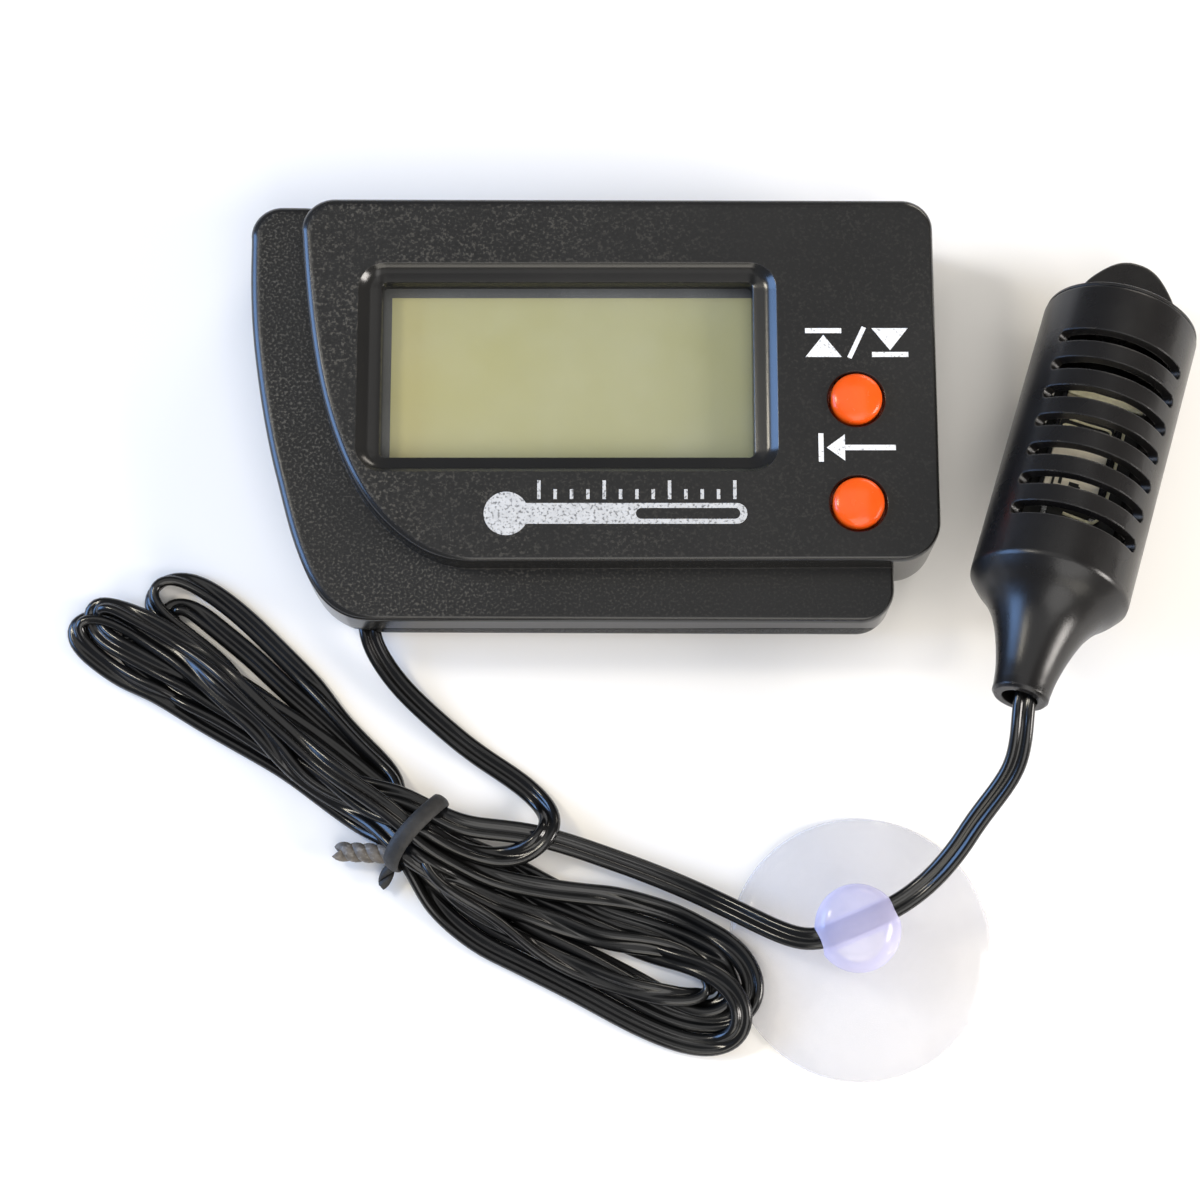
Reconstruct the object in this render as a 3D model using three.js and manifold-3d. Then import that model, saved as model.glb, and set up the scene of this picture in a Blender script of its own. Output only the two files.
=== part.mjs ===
// Digital maximum-minimum thermometer with a remote probe on a twin-core lead, in millimetres, +Z up.
// The case lies on its back, display upwards: the origin is the centre of the flat back face, z = 0.
// The coiled lead, the suction cup and the probe lie on the -Y side and to the +X side of the case.
import * as THREE from "three";
import { mergeVertices } from "three/addons/utils/BufferGeometryUtils.js";
import Module from "manifold-3d";

// ---------- driving dimensions (radii unless named otherwise; h.. = half size) ----------
const FIT = 0.02; // gap that keeps neighbouring parts apart
const CASE_H = 13.0; // back face to plateau face
const STEP_Z = 10.0; // face of the lower layer
const PART_Z = 3.0; // parting plane between the two shells
const WALL = 1.8;
const FLOOR = 1.6; // rear shell floor
const DRAFT = { z: 4.0, inset: 1.0 }; // below this height the side walls lean inward by the inset
// The -Y wall slopes from y at height z to yBack at the back face.
const TOE = { z: 6.5, y: -21.0, yBack: -19.4 };
const WIN = {
  x: -2.27, y: 4.2, hx: 18.45, hy: 9.05,
  bevelX: 2.35, bevelY: 1.75, depth: 2.4, corner: 0.6,
};
const FRAME = { z: 10.2, marginX: 2.9, marginY: 2.5, corner: 2.2 }; // round the window, inside
const BUTTON = { d: 5.2, flange: 7.2, flangeZ: 10.2, hole: 5.6, x: 26.3, top: 14.1 };
const BUTTON_Y = { max_min: 0.78, clear: -9.87 };
const COLLAR = { outer: 4.7, inner: 3.8, z: 9.9 };
const CELL = { d: 11.6, h: 5.4, x: 6.3, y: -12.72, z: 1.6 };
const DOOR = { hx: 14.5, y0: -19.4, y1: -6.3, t: 1.25, tongue: 0.6, play: 0.15 };
const CONTACT = { z0: 7.02, z1: 7.22, hx: 1.4, tailY: -4.3, t: 0.2 };
const PCB = { z0: 5.2, z1: 6.4 };
// Case screws: x, y and the height their bosses are measured from.
const CASE_SCREWS = [[-28.9, 17.4, 8.2], [30.0, 17.5, 11.2], [25.3, -16.95, 8.2], [-25.6, -9.5, 8.2]];
const CASE_SCREW = {
  head: 1.8, shank: 0.9, pilot: 1.05, clearance: 1.15,
  counterbore: 2.0, frontBoss: 2.2, rearBoss: 2.9,
};
const BOARD_SCREWS = [[-17.5, 17.1], [12.5, 17.1]];
const BOARD_SCREW = { head: 1.7, shank: 0.75, pilot: 0.9, post: 1.8, boardHole: 1.0 };
const CROSS = 1.1; // half length of the cross slots in the screw heads
const EXIT = { x: -22.25, z: 3.0, bore: 1.8, seat: 2.4 }; // where the lead leaves the case
const LEAD = { w: 1.95, h: 0.86 }; // twin-core section
const CUP = { x: 26.75, y: -52.15, r: 13.0, shearX: -0.12, shearY: 0.203 };
// The lead's straight hole through the knob of the cup: centre, direction and size.
const CUP_HOLE = { x: 25.95, y: -50.4, z: 6.7, dx: 0.922, dy: 0.387, r: 1.45, length: 14 };
// Twist tie: centre, direction of the hank, inner half axes, strap thickness and width.
const TIE = {
  x: -17.214, y: -40.9275, z: 3.6, dx: 0.8015, dy: -0.598, a: 3.75, b: 3.05, t: 0.5, w: 1.6,
};
// Probe: centre of its cap end, compass angle from neck to cap and rise towards the neck, degrees.
const PROBE = {
  x: 53.69, y: 9.78, z: 7.9, azimuth: 72.1, rise: 11.0,
  r: 7.8, bore: 6.7, body: 30.8, length: 42.5, neck: 2.75,
};
// Two opposite sets of slots; half spread and offset of the centre are in degrees.
const SLOT = { n: 7, first: 5.98, pitch: 3.3, h: 1.4, half: 53.7, centre: -2.5 };

// ---------- outlines in plan, counter-clockwise: x, y ----------
// Outer outline of both layers together.
const CASE_OUTLINE = [
  [26.555,-21.065], [27.22,-21.002], [28.064,-20.719], [28.633,-20.367], [29.122,-19.912], [29.617,-19.172],
  [29.904,-18.33], [29.97,-15.6], [30.795,-15.565], [31.578,-15.382], [32.756,-14.753], [33.343,-14.203],
  [33.811,-13.55], [34.142,-12.818], [34.325,-12.035], [34.353,18.939], [34.195,19.734], [33.944,20.287],
  [33.451,20.93], [32.98,21.315], [32.254,21.673], [31.256,21.836], [-26.2,22], [-28.9,22.24],
  [-31.317,22.269], [-32.125,22.164], [-32.878,21.853], [-33.524,21.357], [-33.911,20.883], [-34.327,19.956],
  [-34.428,19.147], [-34.34,14.175], [-34.157,10.742], [-33.871,7.749], [-33.401,4.344], [-32.248,-1.996],
  [-31.565,-4.924], [-30.123,-10.32], [-29.494,-12.374], [-28.747,-14.388], [-27.874,-16.351],
  [-26.999,-17.83], [-26.194,-18.837], [-25.215,-19.676], [-24.09,-20.312], [-23.28,-20.595],
  [-22.437,-20.762], [-21.139,-20.859],
];
const PLATEAU_OUTLINE = [
  [-11,-15.72], [30.265,-15.605], [31.581,-15.386], [32.758,-14.756], [33.514,-13.999], [33.938,-13.317],
  [34.281,-12.304], [34.36,-11.505], [34.36,18.736], [34.195,19.734], [33.718,20.625], [33.303,21.068],
  [32.629,21.518], [32.059,21.732], [31.256,21.836], [-25.685,21.997], [-26.761,21.824], [-27.723,21.31],
  [-28.2,20.859], [-28.68,20.129], [-28.905,19.513], [-29.003,18.864], [-28.609,14.237], [-28.054,9.455],
  [-27.294,4.7], [-26.468,1.047], [-25.368,-2.533], [-24.171,-5.512], [-22.952,-7.896], [-21.785,-9.689],
  [-20.411,-11.33], [-18.438,-13.149], [-16.665,-14.354], [-14.702,-15.209], [-13.135,-15.584],
];
// The same two outlines, one wall thickness further in.
const CASE_CAVITY = [
  [26.668,-19.261], [27.455,-18.997], [28.047,-18.278], [28.166,-17.77], [28.179,-15.424], [28.579,-14.458],
  [29.447,-13.878], [30.709,-13.755], [31.537,-13.412], [32.251,-12.65], [32.539,-11.8], [32.56,18.707],
  [32.425,19.311], [31.981,19.817], [31.225,20.036], [-26.205,20.2], [-28.99,20.441], [-31.301,20.468],
  [-31.902,20.334], [-32.411,19.887], [-32.626,19.227], [-32.527,13.811], [-32.258,9.622], [-31.426,3.357],
  [-30.399,-2.033], [-28.502,-9.429], [-27.376,-12.951], [-25.91,-16.189], [-25.104,-17.356],
  [-24.18,-18.201], [-22.814,-18.856], [-21.087,-19.06],
];
const PLATEAU_CAVITY = [
  [-11.019,-13.92], [30.232,-13.805], [31.001,-13.681], [31.661,-13.328], [32.322,-12.521], [32.56,-11.475],
  [32.56,18.707], [32.29,19.528], [31.834,19.902], [31.225,20.036], [-25.664,20.197], [-26.186,20.117],
  [-26.623,19.884], [-27.012,19.436], [-27.204,18.781], [-26.594,12.312], [-25.803,6.579], [-25.213,3.515],
  [-24.454,0.513], [-23.498,-2.414], [-22.534,-4.765], [-21.394,-6.995], [-20.336,-8.62], [-19.101,-10.095],
  [-17.317,-11.74], [-15.784,-12.784], [-14.154,-13.494], [-12.401,-13.869],
];
// Alignment lip on the rear shell, outer and inner edge.
const LIP_OUTER = [
  [26.659,-19.111], [27.372,-18.872], [27.908,-18.221], [28.029,-15.409], [28.463,-14.363], [29.224,-13.798],
  [30.679,-13.608], [31.454,-13.287], [32.121,-12.574], [32.391,-11.78], [32.41,18.704], [32.29,19.245],
  [31.898,19.692], [31.223,19.886], [-26.206,20.05], [-28.998,20.291], [-31.3,20.318], [-31.836,20.199],
  [-32.286,19.804], [-32.475,19.236], [-32.41,15.068], [-32.109,9.636], [-31.277,3.38], [-30.252,-2.001],
  [-28.357,-9.39], [-27.236,-12.898], [-25.781,-16.113], [-24.989,-17.259], [-24.094,-18.078],
  [-22.775,-18.711], [-21.083,-18.91],
];
const LIP_INNER = [
  [26.613,-18.362], [26.994,-18.22], [27.245,-17.846], [27.322,-15.073], [27.883,-13.887], [28.937,-13.106],
  [30.959,-12.711], [31.423,-12.277], [31.647,-11.683], [31.66,18.692], [31.481,19.068], [-26.208,19.3],
  [-29.036,19.541], [-31.294,19.568], [-31.661,19.389], [-31.627,13.843], [-31.282,8.884], [-30.47,3.087],
  [-29.43,-2.248], [-27.524,-9.588], [-26.391,-13.006], [-24.957,-16.022], [-24.242,-16.969],
  [-23.446,-17.607], [-22.338,-18.041], [-20.675,-18.167],
];
const BOARD_OUTLINE = [
  [-22.4, -5.5], [18.5, -5.5], [20.5, -7.5], [20.5, -14.4], [28.6, -14.4],
  [31.6, -11.0], [31.6, 14.2], [26.4, 19.3], [-22.4, 19.3],
];

// ---------- stations of the lead: centre x, y, z and the unit vector from one core to the other ----------
// From inside the case, through the coiled hank and the suction cup.
const CABLE_STATIONS = [
  [-21.6,-5.6,4.4,1,-0.028,0], [-22.01,-12.55,3.64,0.998,-0.056,0],
  [-22.22,-17.5,3.02,0.997,-0.078,0], [-22.39,-20.43,3.17,0.995,0.103,-0.002],
  [-21.83,-22.07,2.56,0.868,0.496,-0.001], [-20.84,-23.63,1.98,0.844,0.537,0],
  [-18.36,-26.69,1.5,0.699,0.715,0], [-13.15,-31.31,0.91,0.628,0.778,0.023],
  [-9.91,-33.62,0.57,0.54,0.842,0], [-5.81,-36.49,0.64,0.667,0.741,0.084],
  [-4.52,-37.89,1.09,0.695,0.665,0.272], [-3.77,-39.27,2.23,0.949,0.316,0.013],
  [-3.65,-39.91,2.96,0.975,-0.172,-0.142], [-3.83,-40.73,3.61,0.893,-0.441,-0.089],
  [-4.37,-41.54,3.7,0.772,-0.635,-0.029], [-5.87,-42.82,3.12,0.593,-0.644,-0.483],
  [-6.7,-43.09,2.63,0.381,-0.863,-0.332], [-7.6,-43.25,2.24,0.141,-0.987,-0.08],
  [-9.56,-43.26,1.95,-0.065,-0.85,0.523], [-11.53,-42.95,2.22,0.097,-0.63,0.77],
  [-14.08,-42.03,3.59,0.058,-0.723,0.688], [-16.42,-40.47,4.81,-0.119,-0.537,0.835],
  [-17.24,-39.97,4.96,-0.327,-0.493,0.806], [-18.54,-39.8,4.36,-0.284,-0.843,0.457],
  [-20.48,-39.18,4.07,-0.415,-0.902,0.114], [-23.15,-37.63,3.62,-0.577,-0.753,-0.316],
  [-26.23,-34.85,3.25,-0.555,-0.775,-0.304], [-29.59,-32.63,2.39,-0.505,-0.861,-0.056],
  [-33.77,-29.83,1.95,-0.607,-0.759,0.236], [-37.13,-27.74,1.8,-0.459,-0.876,0.149],
  [-38.92,-26.84,1.82,-0.352,-0.67,0.653], [-41.43,-25.22,1.9,-0.451,-0.698,0.556],
  [-45.79,-22.79,1.6,-0.498,-0.865,0.057], [-48.43,-21.4,1.49,-0.437,-0.852,-0.288],
  [-50.4,-19.7,0.64,-0.797,-0.594,-0.114], [-50.79,-18.99,0.7,-0.987,-0.135,-0.092],
  [-50.75,-17.67,1.47,-0.958,0.276,0.078], [-50.19,-17.21,1.84,-0.307,0.952,-0.012],
  [-49.39,-17.22,2.11,0.302,0.444,-0.844], [-46.76,-18.32,2.38,0.382,0.741,-0.553],
  [-42.28,-20.64,2.53,0.541,0.841,0.013], [-39.04,-22.91,2.87,0.585,0.591,-0.555],
  [-35.26,-26.12,3.92,0.665,0.673,-0.325], [-30.06,-30.92,3.53,0.525,0.651,-0.548],
  [-27.83,-32.91,3.68,0.675,0.735,-0.063], [-24.8,-35.41,4.54,0.585,0.81,-0.045],
  [-20.64,-38.29,4.95,0.597,0.752,-0.279], [-18.32,-40.09,5.42,0.569,0.671,-0.474],
  [-17.58,-41.09,4.85,0.291,0.661,-0.692], [-15.22,-42.67,3.79,0.162,0.816,-0.554],
  [-11.89,-44.38,2.18,0.157,0.743,-0.651], [-8.14,-45.62,1.68,0.223,0.975,-0.022],
  [-1.16,-46.75,1.57,0.101,0.986,-0.129], [2.92,-47.08,1.22,0.195,0.943,0.27],
  [6.79,-48.09,0.91,0.251,0.771,0.585], [10.48,-49.65,0.97,0.31,0.654,0.69],
  [13.81,-51.75,1.92,0.597,0.783,0.173], [15.66,-54,2.23,0.855,0.494,0.154],
  [16.39,-55.84,2.27,0.989,0.072,0.133], [15.89,-57.73,2.06,0.864,-0.498,0.07],
  [14.58,-59.04,1.68,0.457,-0.887,0.065], [12.77,-59.43,0.96,0.101,-0.991,-0.093],
  [10.76,-59.38,0.58,-0.123,-0.992,0.02], [7.86,-58.56,0.57,-0.382,-0.924,0],
  [1.5,-55.24,0.57,-0.482,-0.876,0], [-4.8,-52.02,0.57,-0.444,-0.896,0],
  [-8.47,-50.41,0.57,-0.306,-0.952,0], [-9.44,-50.09,0.57,-0.477,-0.878,0.047],
  [-10.3,-49.4,0.85,-0.592,-0.664,-0.457], [-13.55,-46.97,1.14,-0.472,-0.411,-0.78],
  [-14.84,-45.5,1.36,-0.659,-0.628,-0.415], [-15.61,-45.06,1.66,-0.625,-0.774,-0.099],
  [-16.35,-44.38,2.1,-0.548,-0.72,0.425], [-17.39,-42.88,3.01,-0.283,-0.624,0.728],
  [-19.19,-41.68,2.93,-0.573,-0.715,0.401], [-23.49,-39.32,0.82,-0.571,-0.818,-0.07],
  [-26.84,-36.81,0.57,-0.602,-0.799,0], [-31.91,-33.24,0.57,-0.494,-0.87,0],
  [-38.14,-29.74,0.57,-0.49,-0.872,0], [-41.66,-27.57,0.65,-0.497,-0.863,0.095],
  [-42.59,-27.01,1.41,-0.573,-0.721,-0.389], [-47.78,-24.54,0.68,-0.543,-0.817,-0.191],
  [-51.73,-21.47,0.62,-0.742,-0.665,-0.085], [-52.32,-20.72,0.76,-0.853,-0.413,-0.319],
  [-52.6,-19.87,0.87,-0.853,-0.021,-0.522], [-52.5,-19.05,0.98,-0.587,0.371,-0.719],
  [-51.99,-18.45,1.11,-0.168,0.491,-0.855], [-49.51,-18.43,1.15,0.12,0.539,-0.834],
  [-46.89,-19.47,1.42,0.473,0.799,-0.371], [-41.04,-23.4,2.09,0.605,0.614,-0.507],
  [-39.58,-24.65,2.54,0.669,0.735,0.107], [-36.63,-27.44,3.11,0.573,0.675,0.465],
  [-34.24,-29.32,2.99,0.637,0.758,-0.142], [-31.45,-32.33,3.14,0.773,0.628,0.09],
  [-30.15,-33.91,2.96,0.64,0.41,0.65], [-28.77,-35.37,2.51,0.516,0.286,0.808],
  [-26.21,-36.99,1.94,0.298,0.369,0.88], [-23.51,-38.32,2.08,0.335,0.853,0.4],
  [-21.07,-39.92,2.96,0.685,0.726,-0.068], [-19.08,-42.1,4.18,0.762,0.643,-0.08],
  [-17.6,-43.6,4.4,0.578,0.678,0.453], [-16.83,-44.18,4.32,0.519,0.478,0.708],
  [-14.83,-44.96,2.84,0.619,0.641,0.453], [-14.09,-45.37,2.56,0.507,0.85,0.143],
  [-13.3,-45.79,2.38,0.38,0.843,-0.382], [-8.87,-47.93,1.68,0.375,0.918,-0.125],
  [-5.97,-48.78,1.97,0.22,0.85,-0.479], [-3.13,-49.72,1.72,0.349,0.93,0.113],
  [-1.27,-50.42,1.58,0.316,0.656,0.685], [1.51,-51.4,1.74,0.039,0.721,0.692],
  [6.5,-52.01,1.85,0.111,0.988,0.106], [7.69,-52.02,1.25,0.318,0.687,0.654],
  [10.39,-53.1,1.08,0.265,0.452,0.852], [11.18,-53.64,1.12,-0.058,0.052,0.997],
  [11.92,-54.28,1.23,-0.716,-0.415,0.561], [12.21,-54.91,1.5,-0.978,-0.181,-0.101],
  [12.14,-55.62,1.53,-0.985,0.149,0.091], [11.99,-56.38,1.52,-0.492,0.28,0.824],
  [11.39,-56.88,1.51,0.291,-0.441,0.849], [9.64,-57.06,1.93,0.158,-0.703,0.694],
  [7.69,-56.84,2.33,-0.101,-0.946,0.308], [6.69,-56.71,2.36,-0.151,-0.987,-0.06],
  [0.87,-55.05,1.91,-0.271,-0.867,-0.418], [-2.86,-53.45,1.68,-0.401,-0.884,0.241],
  [-4.67,-52.53,1.85,-0.337,-0.7,0.63], [-6.4,-51.46,1.98,-0.158,-0.341,0.927],
  [-9.01,-49.82,2.14,0.22,0.197,0.955], [-13.43,-47.24,3.26,0.502,0.234,0.833],
  [-14.26,-46.73,3.66,0.434,0.002,0.901], [-15.03,-46.04,4.03,-0.18,-0.392,0.902],
  [-15.62,-45.22,4.04,-0.758,-0.081,0.647], [-15.87,-43.86,3.32,-0.752,0.088,0.653],
  [-16.1,-42.94,3.18,-0.713,-0.263,0.65], [-17.32,-41.13,3.23,-0.643,-0.46,0.613],
  [-18.63,-39.5,2.78,-0.592,-0.123,0.796], [-18.99,-38.63,2.6,-0.228,0.154,0.962],
  [-18.72,-36.14,2.09,-0.014,0.332,0.943], [-18.96,-35.39,1.65,-0.497,0.184,0.848],
  [-20.24,-34,1.14,-0.452,-0.382,0.806], [-25.22,-29.02,1.09,-0.452,-0.34,0.825],
  [-27.66,-25.88,0.76,-0.726,-0.606,0.325], [-32.64,-20.97,0.57,-0.702,-0.712,0],
  [-37.89,-16.37,0.62,-0.573,-0.816,0.078], [-40.45,-14.87,0.87,-0.284,-0.807,0.518],
  [-42.3,-14.36,1.09,0.048,-0.455,0.889], [-43.22,-14.43,1.14,0.078,-0.17,0.982],
  [-44.05,-14.79,1.15,0.025,-0.029,0.999], [-44.65,-15.45,1.14,0.108,-0.076,0.991],
  [-44.92,-16.3,1.13,0.419,-0.008,0.908], [-44.83,-17.19,1.21,0.666,0.287,0.688],
  [-44.44,-18.01,1.38,0.726,0.579,0.371], [-42.99,-19.27,1.63,0.57,0.816,0.096],
  [-37.34,-23.58,1.42,0.655,0.755,0.005], [-35.95,-25.09,1.6,0.844,0.529,0.09],
  [-34.4,-27.68,1.24,0.667,0.484,0.566], [-30.47,-30.91,1.06,0.38,0.515,0.768],
  [-25.1,-35.42,1.26,0.552,0.648,0.524], [-22.78,-37.36,1.46,0.635,0.648,0.42],
  [-21.73,-37.98,0.68,0.567,0.819,-0.091], [-20.6,-39.43,0.6,0.869,0.492,-0.04],
  [-18.38,-43.02,2.17,0.733,0.318,-0.602], [-17.87,-43.63,2.32,0.515,0.357,-0.78],
  [-16.62,-46.3,1.18,0.384,0.548,-0.743], [-15.4,-47.9,0.73,0.692,0.669,-0.27],
  [-11.5,-51.22,0.57,0.609,0.793,0], [-9.74,-52.3,0.57,0.392,0.92,0],
  [-3.26,-55.33,0.57,0.443,0.897,0], [2.96,-58.63,0.57,0.472,0.882,0],
  [8.55,-61.11,0.57,0.318,0.948,0], [11.45,-61.69,0.61,0.001,1,-0.018],
  [13.35,-61.52,1.1,-0.389,0.873,0.293], [14.07,-61.19,1.59,-0.722,0.556,0.412],
  [14.97,-59.93,2.67,-0.961,0.165,0.222], [15.1,-59.05,3.01,-1,0.009,0.021],
  [14.66,-57.19,3.19,-0.889,-0.433,0.146], [13.41,-55.62,3.14,-0.612,-0.747,-0.26],
  [10.93,-54.13,2.56,-0.279,-0.898,-0.34], [7.32,-53.05,1.52,0.041,-0.801,-0.598],
  [6.38,-52.59,0.73,-0.292,-0.934,-0.204], [2.73,-51.15,0.9,-0.424,-0.695,-0.581],
  [-0.04,-49.84,1.03,-0.199,-0.611,-0.766], [-3.8,-48.6,0.68,-0.381,-0.905,-0.191],
  [-9.9,-45.27,0.66,-0.353,-0.925,0.139], [-11.67,-44.54,0.94,-0.229,-0.738,0.635],
  [-13.47,-43.43,1.09,-0.383,-0.389,0.838], [-14.79,-41.88,1.1,-0.17,-0.393,0.904],
  [-15.95,-40.73,1.79,-0.432,-0.581,0.689], [-16.51,-40,1.83,0.171,0.06,-0.983],
  [-17.15,-39.23,1.67,0.122,-0.331,-0.936], [-17.68,-38.46,1.13,0.291,-0.16,-0.943],
  [-18.16,-37.9,1.13,-0.01,-0.371,-0.928], [-18.96,-37.07,0.59,-0.69,-0.712,0.13],
  [-24.29,-31.82,0.57,-0.701,-0.713,0], [-29.4,-27.13,0.57,-0.644,-0.765,0],
  [-34.53,-22.42,0.57,-0.652,-0.758,0], [-39.91,-18.01,0.77,-0.539,-0.772,0.337],
  [-40.67,-17.45,0.96,-0.269,-0.703,0.658], [-41.49,-17.09,1.11,-0.137,-0.352,0.926],
  [-42.32,-17.06,0.86,0.054,-0.876,0.48], [-43,-17.46,0.6,0.747,-0.664,0.037],
  [-43.32,-18.19,0.57,0.995,-0.101,0], [-43.17,-19.05,0.57,0.938,0.346,0],
  [-42.02,-20.51,0.57,0.665,0.747,0], [-36.61,-24.97,0.57,0.551,0.834,0],
  [-33.2,-27.07,0.57,0.572,0.82,0], [-27.69,-31.55,0.57,0.656,0.755,0],
  [-23.37,-35.76,0.66,0.681,0.718,0.142], [-22.01,-36.82,0.85,0.418,0.812,0.408],
  [-21.2,-37.48,1.51,0.679,0.729,-0.086], [-20.48,-38.16,1.58,0.59,0.756,-0.285],
  [-18.92,-39.45,1.27,0.569,0.387,-0.725], [-18.35,-40.21,1.58,0.558,0.364,-0.746],
  [-17.58,-40.88,1.59,0.43,0.487,-0.76], [-16.96,-41.51,1.54,-0.43,-0.674,0.601],
  [-16.33,-42.23,0.97,-0.517,-0.601,0.609], [-15.71,-43.06,1.07,-0.212,-0.335,-0.918],
  [-15.02,-43.54,1.15,-0.122,0.233,-0.965], [-14.44,-44.43,0.57,0.763,0.646,-0.019],
  [-12.92,-45.78,0.57,0.646,0.764,0], [-12.09,-46.48,0.57,-0.578,-0.816,0],
  [-8.33,-48.34,0.74,-0.521,-0.813,0.26], [-7.46,-48.87,0.93,0.486,0.636,-0.599],
  [-1.3,-52.05,1.1,0.165,0.373,-0.913], [4.91,-55.26,1.01,0.301,0.572,-0.763],
  [9.23,-57.65,1.13,0.284,0.522,-0.805], [11.91,-58.37,1.52,0.094,0.819,-0.567],
  [12.72,-58.16,1.76,-0.186,0.729,-0.659], [13.4,-57.62,1.93,-0.472,0.523,-0.709],
  [13.92,-56.86,1.92,-0.728,0.38,-0.57], [14.17,-56.08,1.97,-0.994,0.099,0.05],
  [14.09,-55.1,1.87,0.483,0.19,0.855], [13.72,-54.22,1.81,-0.324,-0.138,0.936],
  [13.03,-53.5,1.74,-0.549,-0.513,0.66], [12.21,-52.81,1.65,-0.32,-0.663,-0.677],
  [10.71,-51.88,0.93,-0.2,-0.786,-0.586], [7,-50.45,0.57,-0.348,-0.937,0],
  [1.28,-48.75,0.57,-0.396,-0.918,0], [-4.96,-45.55,0.57,-0.472,-0.882,0],
  [-8.5,-43.5,0.57,-0.392,-0.92,0], [-12.19,-42.14,0.78,-0.313,-0.885,0.345],
  [-13.81,-41.29,1.36,-0.148,-0.782,0.605], [-15.16,-40.25,2.42,-0.258,-0.757,0.6],
  [-15.87,-39.72,2.66,-0.315,-0.492,0.811], [-18.03,-37.52,2.6,-0.358,-0.882,0.306],
  [-19.73,-37.2,2.44,-0.372,-0.846,0.382], [-22.62,-34.76,1.85,-0.615,-0.725,0.311],
  [-28.28,-30.45,1.9,-0.514,-0.748,0.421], [-32.52,-27.75,2.13,-0.381,-0.76,0.526],
  [-35.14,-26.23,2.58,-0.398,-0.915,-0.061], [-37.03,-25.58,2.26,-0.162,-0.929,-0.333],
  [-39.62,-24.7,0.97,-0.139,-0.771,-0.621], [-41.39,-23.77,0.68,-0.511,-0.837,-0.193],
  [-45.5,-20.84,0.57,-0.454,-0.891,0], [-46.36,-20.56,0.57,-0.104,-0.995,0],
  [-47.1,-20.68,0.57,0.521,-0.854,0], [-47.48,-21.24,0.57,0.98,-0.197,0],
  [-47.36,-21.98,0.57,0.905,0.425,0], [-46.09,-23.2,0.57,0.589,0.808,0],
  [-42.15,-26.16,0.76,0.545,0.798,0.257], [-41.37,-26.86,1.49,0.623,0.771,-0.132],
  [-35.37,-30.04,1.22,0.431,0.667,-0.608], [-30.2,-33.17,1.46,0.445,0.874,-0.195],
  [-26.64,-35,2.02,0.267,0.857,0.441], [-21.08,-36.74,3.35,0.202,0.979,0.03],
  [-19.18,-37.14,3.86,0.299,0.953,-0.05], [-17.27,-37.98,3.74,0.313,0.752,-0.58],
  [-12.82,-40.27,3.51,0.25,0.968,-0.014], [-5.92,-41,2.73,0.179,0.984,0],
  [0.79,-42.94,2.22,0.327,0.945,0], [7.37,-45.34,1.97,0.376,0.926,0],
  [11.01,-46.95,2.27,0.437,0.899,0], [15.19,-49.18,3.84,0.489,0.872,0],
  [20.15,-51.67,6.08,0.267,0.964,-0.001], [22.02,-51.82,6.54,-0.147,0.989,-0.001],
  [27.56,-49.63,6.7,-0.411,0.912,0], [31.04,-47.71,7.03,-0.566,0.824,0],
  [33.93,-45.22,8.15,-0.731,0.682,0], [36.67,-41.66,10.34,-0.837,0.548,0],
];
// From there to the neck of the probe.
const PROBE_LEAD_STATIONS = [
  [37.118,-40.92,10.83,-0.854,0.521,0], [38.262,-39.41,11.83,-0.889,0.458,0],
  [39.462,-37.84,12.83,-0.919,0.394,0], [40.439,-36.21,13.8,-0.94,0.341,0],
  [40.907,-34.52,14.69,-0.952,0.305,0], [41.117,-32.74,15.44,-0.958,0.287,0],
  [41.258,-30.88,15.88,-0.959,0.285,0], [41.61,-28.98,15.89,-0.956,0.293,0],
  [42.19,-27.11,15.52,-0.954,0.3,0], [42.78,-25.27,14.98,-0.954,0.301,0],
  [43.36,-23.42,14.51,-0.955,0.298,0], [43.94,-21.52,14.27,-0.957,0.29,0],
];

// ---------- helpers: a range is [low, high] ----------
const wasm = await Module();
wasm.setup();

function solid(geometry) {
  const bare = geometry.clone();
  for (const name of Object.keys(bare.attributes)) {
    if (name !== "position") bare.deleteAttribute(name);
  }
  const merged = mergeVertices(bare, 1e-4);
  return new wasm.Manifold(
    new wasm.Mesh({
      numProp: 3,
      vertProperties: new Float32Array(merged.attributes.position.array),
      triVerts: new Uint32Array(merged.index.array),
    }),
  );
}
function geometryOf(manifold) {
  const { vertProperties, numProp, triVerts } = manifold.getMesh();
  const positions = new Float32Array((vertProperties.length / numProp) * 3);
  for (let i = 0; i < positions.length / 3; i++) {
    positions.set(vertProperties.subarray(i * numProp, i * numProp + 3), i * 3);
  }
  const geometry = new THREE.BufferGeometry();
  geometry.setAttribute("position", new THREE.BufferAttribute(positions, 3));
  geometry.setIndex(new THREE.BufferAttribute(new Uint32Array(triVerts), 1));
  geometry.computeVertexNormals();
  return geometry;
}
const around = (centre, half) => [centre - half, centre + half];
const WIDE = around(0, 60); // reaches past the case on both sides

function box([x0, x1], [y0, y1], [z0, z1]) {
  const block = new THREE.BoxGeometry(x1 - x0, y1 - y0, z1 - z0);
  return solid(block.translate((x0 + x1) / 2, (y0 + y1) / 2, (z0 + z1) / 2));
}
// An upright cylinder.
function cylinder([x, y], radius, [z0, z1], segments) {
  const upright = new THREE.CylinderGeometry(radius, radius, z1 - z0, segments).rotateX(Math.PI / 2);
  return solid(upright.translate(x, y, (z0 + z1) / 2));
}
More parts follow.
